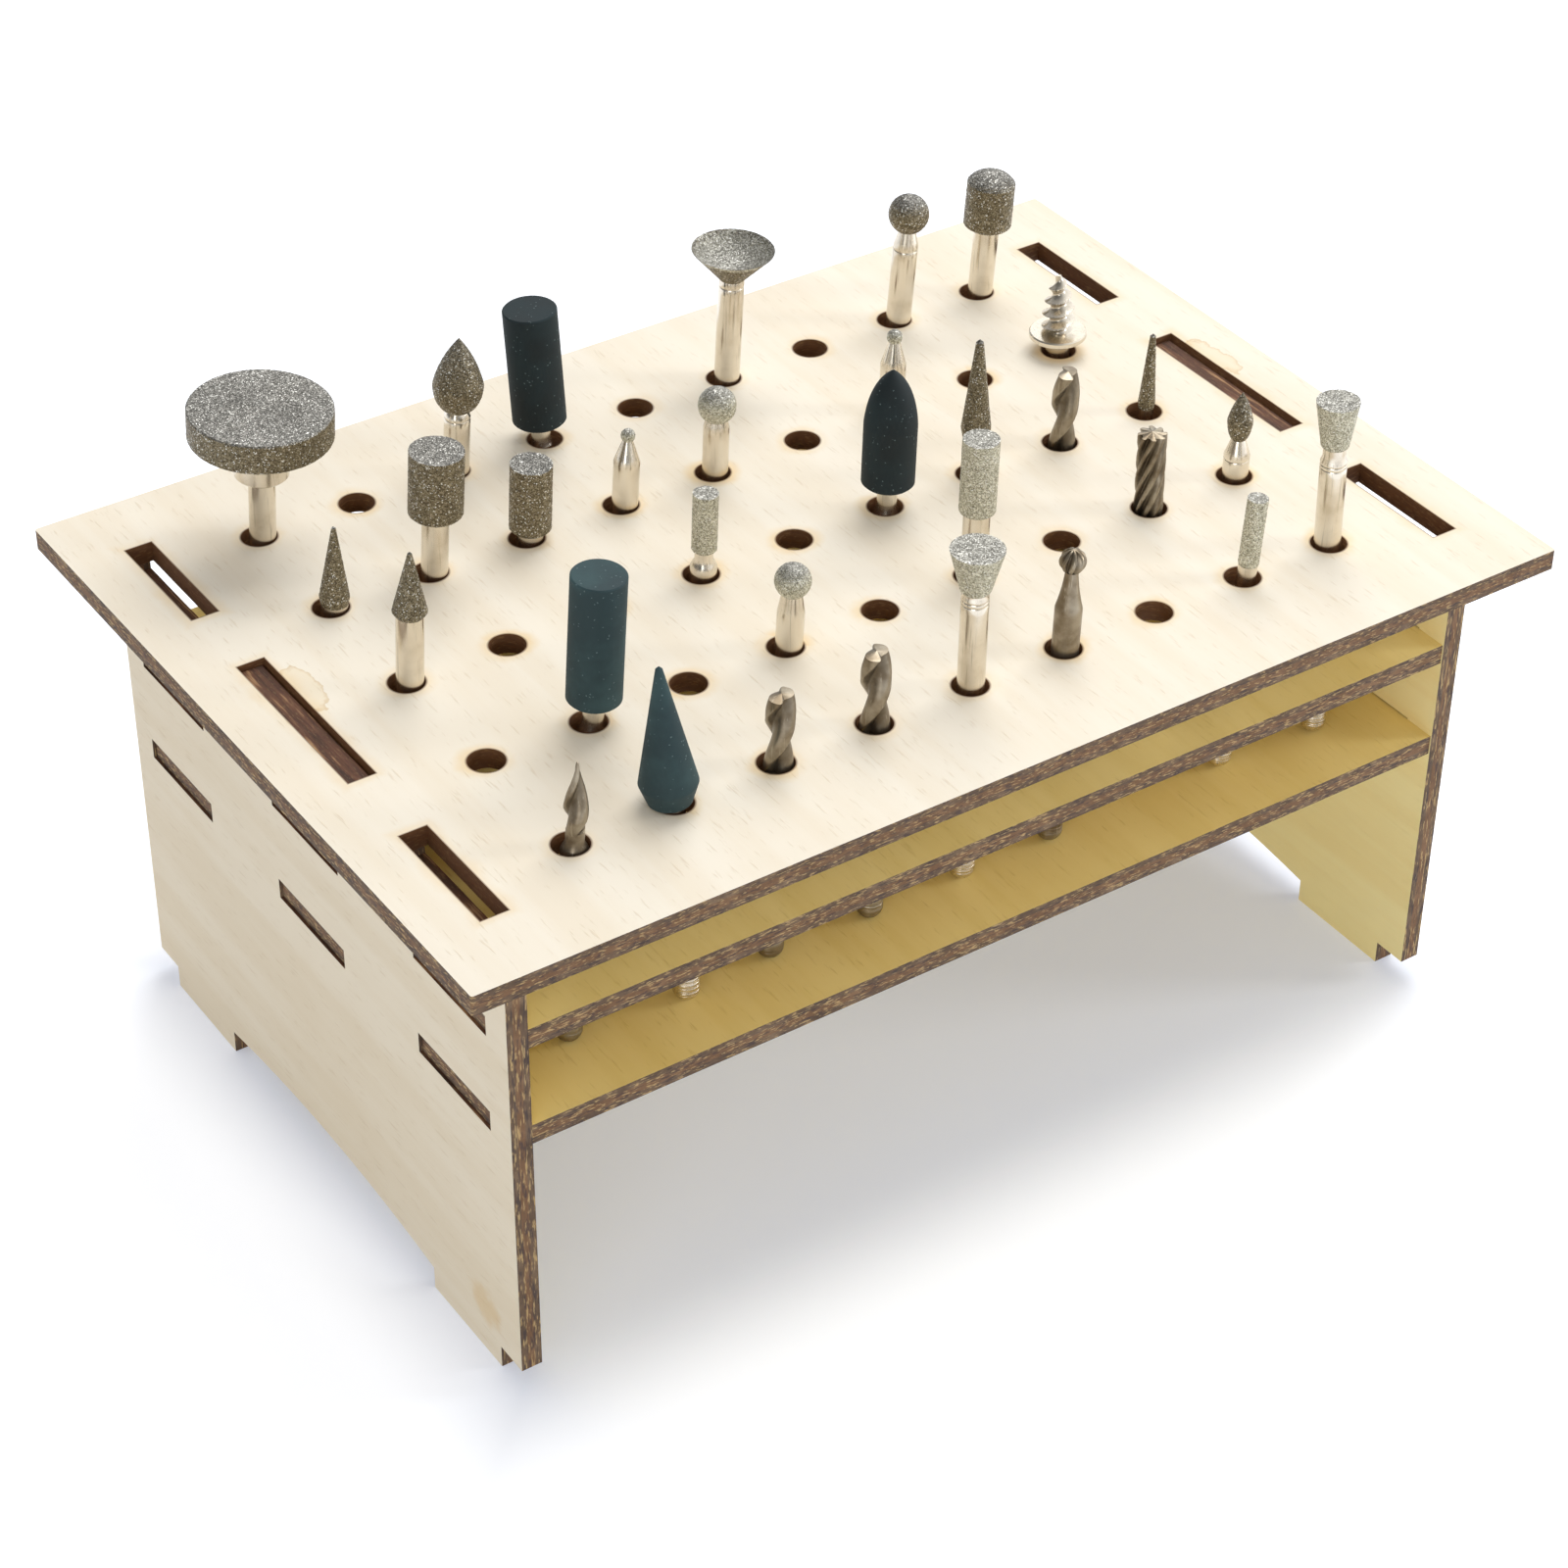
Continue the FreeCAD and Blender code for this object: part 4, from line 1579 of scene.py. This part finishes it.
def stocked_tools() -> List[Tool]:
    """The tools that stand in the stand.

    Returns:
        The tools, front row first.
    """
    return [
        StepCutter("step_cutter_a1", diameter=3.1, base=2.0, top=10.8, groove=0.5, lead=13.0),
        Polisher("cone_polisher_a2", **PALE_RUBBER, diameter=6.6, base=0.5, top=17.8, foot=5.0, nose=2.9),
        FlutedCutter("twist_cutter_a3", diameter=3.3, top=9.2),
        FlutedCutter("twist_cutter_a4", diameter=3.4, top=9.7),
        InvertedConeBurr("inverted_cone_burr_a5", **BRIGHT, diameter=6.2, foot=3.5, base=12.6, top=18.1,
                         neck=2.9, shoulder=12.0),
        RoundCutter("round_cutter_a6", flutes=8, groove=0.3, lead=40.0),
        CylinderBurr("thin_cylinder_burr_a8", **BRIGHT, diameter=2.45, base=1.9, top=10.9,
                     neck=2.3, shoulder=-3.0),
        InvertedConeBurr("inverted_cone_burr_a9", **BRIGHT, diameter=5.1, foot=3.3, base=13.2, top=19.3,
                         neck=2.7, shoulder=11.4),
        Polisher("cylinder_polisher_b2", **PALE_RUBBER, diameter=6.3, base=3.2, top=19.5),
        BallBurr("ball_burr_b4", **BRIGHT, ball=4.2, centre=9.0, neck=2.4, shoulder=4.9),
        CylinderBurr("cylinder_burr_b6", **BRIGHT, diameter=4.3, base=8.8, top=18.5),
        FlutedCutter("spiral_cutter_b8", diameter=3.5, top=10.6, flutes=8, groove=0.3, lead=24.0),
        FlameBurr("flame_burr_b9", diameter=3.1, base=5.2, widest=7.7, top=11.6, neck=1.7, shoulder=3.0),
        ConeBurr("cone_burr_c1", diameter=4.0, base=9.1, widest=9.7, top=17.4, tip=0.5),
        CylinderBurr("necked_cylinder_burr_c4", **BRIGHT, diameter=3.0, base=3.3, top=11.1,
                     neck=2.2, shoulder=1.2),
        Polisher("bullet_polisher_c6", diameter=6.4, base=3.4, nose=11.6, top=18.8),
        ConeBurr("needle_burr_c7", diameter=3.6, base=5.4, widest=6.6, top=18.6, tip=0.9),
        FlutedCutter("twist_cutter_c8", diameter=3.3, top=10.0),
        ConeBurr("needle_burr_c9", diameter=2.1, base=0.6, widest=1.4, top=11.0, tip=0.7,
                 neck=1.9, shoulder=-3.0),
        ConeBurr("cone_burr_d1", diameter=3.5, base=0.7, widest=1.6, top=11.1, tip=0.5),
        CylinderBurr("cylinder_burr_d2", diameter=6.4, base=8.2, top=16.6),
        CylinderBurr("cylinder_burr_d3", diameter=5.0, base=1.4, top=10.3),
        BallBurr("point_burr_d4", **BRIGHT, ball=1.7, centre=9.7, neck=1.2, shoulder=6.2),
        BallBurr("ball_burr_d5", **BRIGHT, ball=4.6, centre=9.4, neck=2.6, shoulder=6.4),
        BallBurr("point_burr_d7", **BRIGHT, ball=1.9, centre=10.3, neck=1.4, shoulder=6.6),
        ScrewMandrel("screw_mandrel_d9"),
        WheelBurr("wheel_burr_e1", diameter=16.9, base=14.0, top=17.7),
        FlameBurr("flame_burr_e3", diameter=6.1, base=8.6, widest=12.2, top=18.5, neck=2.5, shoulder=8.0),
        Polisher("cylinder_polisher_e4", diameter=6.6, base=2.7, top=18.1),
        CupBurr("cup_burr_e6", rim=10.2),
        BallBurr("ball_burr_e8", ball=5.1, centre=15.3, neck=2.2, shoulder=11.0, marks=(0.5,)),
        CylinderBurr("domed_burr_e9", diameter=6.1, base=9.8, top=17.4, dome=1.5),
    ]


@dataclass
class Stand:
    """The five plywood pieces, which keep their CAD shapes."""

    sheets: Dict[str, Sheet] = field(default_factory=lambda: {
        "top_plate": Sheet.TOP, "left_panel": Sheet.PANEL, "right_panel": Sheet.PANEL,
        "guide_shelf": Sheet.SHELF, "rest_shelf": Sheet.SHELF,
    })

    def dress(self, frame: Dict, materials: Materials) -> None:
        """Give each sheet its veneer and scorched edges.

        Args:
            frame: the loaded frame.
            materials: the finishes.
        """
        for node, sheet in self.sheets.items():
            piece = frame["nodes"][node]
            piece.data.materials.clear()
            piece.data.materials.append(materials.sheets[sheet])
            LOG.info("%s dressed as %s", node, sheet.value)


@dataclass(frozen=True)
class Lamp:
    """Square soft lamp that faces a target; metres and watts."""

    name: str
    place: Tuple[float, float, float]
    target: Tuple[float, float, float]
    size: float
    power: float

    def hang(self) -> None:
        """Add the lamp to the scene."""
        data = bpy.data.lights.new(self.name, "AREA")
        data.size = self.size
        data.energy = self.power
        lamp = bpy.data.objects.new(self.name, data)
        lamp.location = self.place
        lamp.rotation_euler = (Vector(self.target) - Vector(self.place)).to_track_quat("-Z", "Y").to_euler()
        bpy.context.scene.collection.objects.link(lamp)


@dataclass
class Studio:
    """Floor, soft light and the camera of the photograph, in metres and degrees."""

    camera_place: Tuple[float, float, float] = (-0.2131, -0.3111, 0.3159)
    azimuth: float = -34.27
    elevation: float = 37.21
    roll: float = 0.55
    focal_pixels: float = 3951.0
    image_pixels: float = 1600.0
    sensor: float = 36.0
    near_clip: float = 0.01
    lamps: Tuple[Lamp, ...] = (
        Lamp("key", (0.35, 0.25, 0.75), (0.0, 0.0, 0.03), size=0.55, power=4.2),
        Lamp("glint", (0.55, -0.32, 0.24), (0.0, 0.0, 0.06), size=0.14, power=1.1),
        Lamp("left", (-0.72, -0.7, 0.32), (0.0, 0.0, 0.03), size=0.5, power=2.3),
    )
    world_light: float = 0.52
    mirrored_light: Tuple[float, float] = (0.2, 1.1)
    mirrored_side: Tuple[float, float] = (-0.7, 0.8)
    floor_half: float = 4.0
    floor_colour: Colour = (0.71, 0.735, 0.78)
    shade_half: Tuple[float, float] = (0.0635, 0.042)
    shade_fade: Tuple[float, float] = (-0.004, 0.016)
    # Glow colour under the stand: painted shadow.
    shadow_glow: Colour = (0.178, 0.194, 0.25)
    open_glow: Colour = (0.555, 0.558, 0.575)
    far_fade: Tuple[float, float] = (0.12, 0.6)
    far_gain: float = 0.24

    def build(self) -> None:
        """Set up everything that isn't the object."""
        scene = bpy.context.scene
        scene.view_settings.view_transform = "Standard"
        self.floor()
        self.world(scene)
        for lamp in self.lamps:
            lamp.hang()
        self.camera(scene)

    def floor(self) -> None:
        """Pale floor: diffuse plus a glow that only the camera and mirrors see, weaker under the stand as
        painted shadow.
        """
        half = self.floor_half
        corners = [(-half, -half, 0), (half, -half, 0), (half, half, 0), (-half, half, 0)]
        mesh = bpy.data.meshes.new("floor")
        mesh.from_pydata(corners, [], [(0, 1, 2, 3)])
        floor = bpy.data.objects.new("floor", mesh)
        bpy.context.scene.collection.objects.link(floor)
        material = bpy.data.materials.new("floor_white")
        graph = Graph.blank(material)
        place = graph.add("TexCoord").outputs["Object"]
        past = [graph.minus(graph.apart(along), reach)
                for along, reach in zip(graph.split(place), self.shade_half)]
        # Glow dimmed in a soft box under the stand: painted shadow.
        shade = graph.smooth(graph.larger(*past), *self.shade_fade)
        away = graph.add("VectorMath", {0: place}, operation="LENGTH").outputs["Value"]
        gain = graph.times(graph.smooth(away, *self.far_fade), self.far_gain)
        strength = graph.times(self.seen(graph), graph.plus(1.0, gain))
        colour = graph.mix(shade, self.shadow_glow, self.open_glow)
        glow = graph.add("Emission", {"Color": colour, "Strength": strength})
        diffuse = graph.add("BsdfDiffuse", {"Color": self.floor_colour})
        both = graph.add("AddShader", {0: diffuse.outputs[0], 1: glow.outputs[0]})
        graph.add("OutputMaterial", {"Surface": both.outputs[0]})
        mesh.materials.append(material)

    @staticmethod
    def seen(graph: Graph) -> Socket:
        """1 for rays from the camera and their reflections, 0 for light on the object.

        Args:
            graph: the floor's graph.

        Returns:
            The mask.
        """
        path = graph.add("LightPath").outputs
        mirror = graph.larger(path["Is Glossy Ray"], path["Is Transmission Ray"])
        return graph.larger(path["Is Camera Ray"], mirror)

    def world(self, scene: bpy.types.Scene) -> None:
        """Even soft light, white where the camera sees it, and a bright side for the metal to show.

        Args:
            scene: the scene that it lights.
        """
        world = bpy.data.worlds.new("studio")
        graph = Graph.blank(world)
        path = graph.add("LightPath").outputs
        toward_x, _, _ = graph.split(graph.add("TexCoord").outputs["Generated"])
        least, more = self.mirrored_light
        mirrored = graph.plus(least, graph.times(graph.smooth(toward_x, *self.mirrored_side), more))
        light = graph.blend(path["Is Glossy Ray"], self.world_light, mirrored)
        strength = graph.blend(path["Is Camera Ray"], light, 1.0)
        background = graph.add("Background", {"Color": (1.0, 1.0, 1.0), "Strength": strength})
        graph.add("OutputWorld", {"Surface": background.outputs[0]})
        scene.world = world

    def camera(self, scene: bpy.types.Scene) -> None:
        """Camera at the photograph's place and angle.

        Args:
            scene: the scene that it shows.
        """
        data = bpy.data.cameras.new("camera")
        data.sensor_width = self.sensor
        data.lens = self.focal_pixels / self.image_pixels * self.sensor
        data.clip_start = self.near_clip
        camera = bpy.data.objects.new("camera", data)
        turn = Matrix.Rotation(math.radians(self.azimuth), 4, "Z")
        tilt = Matrix.Rotation(math.radians(90 - self.elevation), 4, "X")
        roll = Matrix.Rotation(math.radians(self.roll), 4, "Z")
        camera.matrix_world = Matrix.Translation(self.camera_place) @ turn @ tilt @ roll
        scene.collection.objects.link(camera)
        scene.camera = camera


def main() -> None:
    """Build the stand's looks around the frame."""
    logging.basicConfig(level=logging.INFO, format="%(name)s: %(message)s")
    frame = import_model()
    sizes = StandSizes.from_frame(frame)
    materials = Materials(Groups(sizes))
    Stand().dress(frame, materials)
    rng = np.random.default_rng(GRIT_SEED)
    for tool in stocked_tools():
        tool.locate(frame, sizes.plate_high)
        pieces = tool.build(materials, rng)
        LOG.info("%s: %s", tool.name, [len(p.data.polygons) for p in pieces])
    Studio().build()


if __name__ == "__main__":
    main()
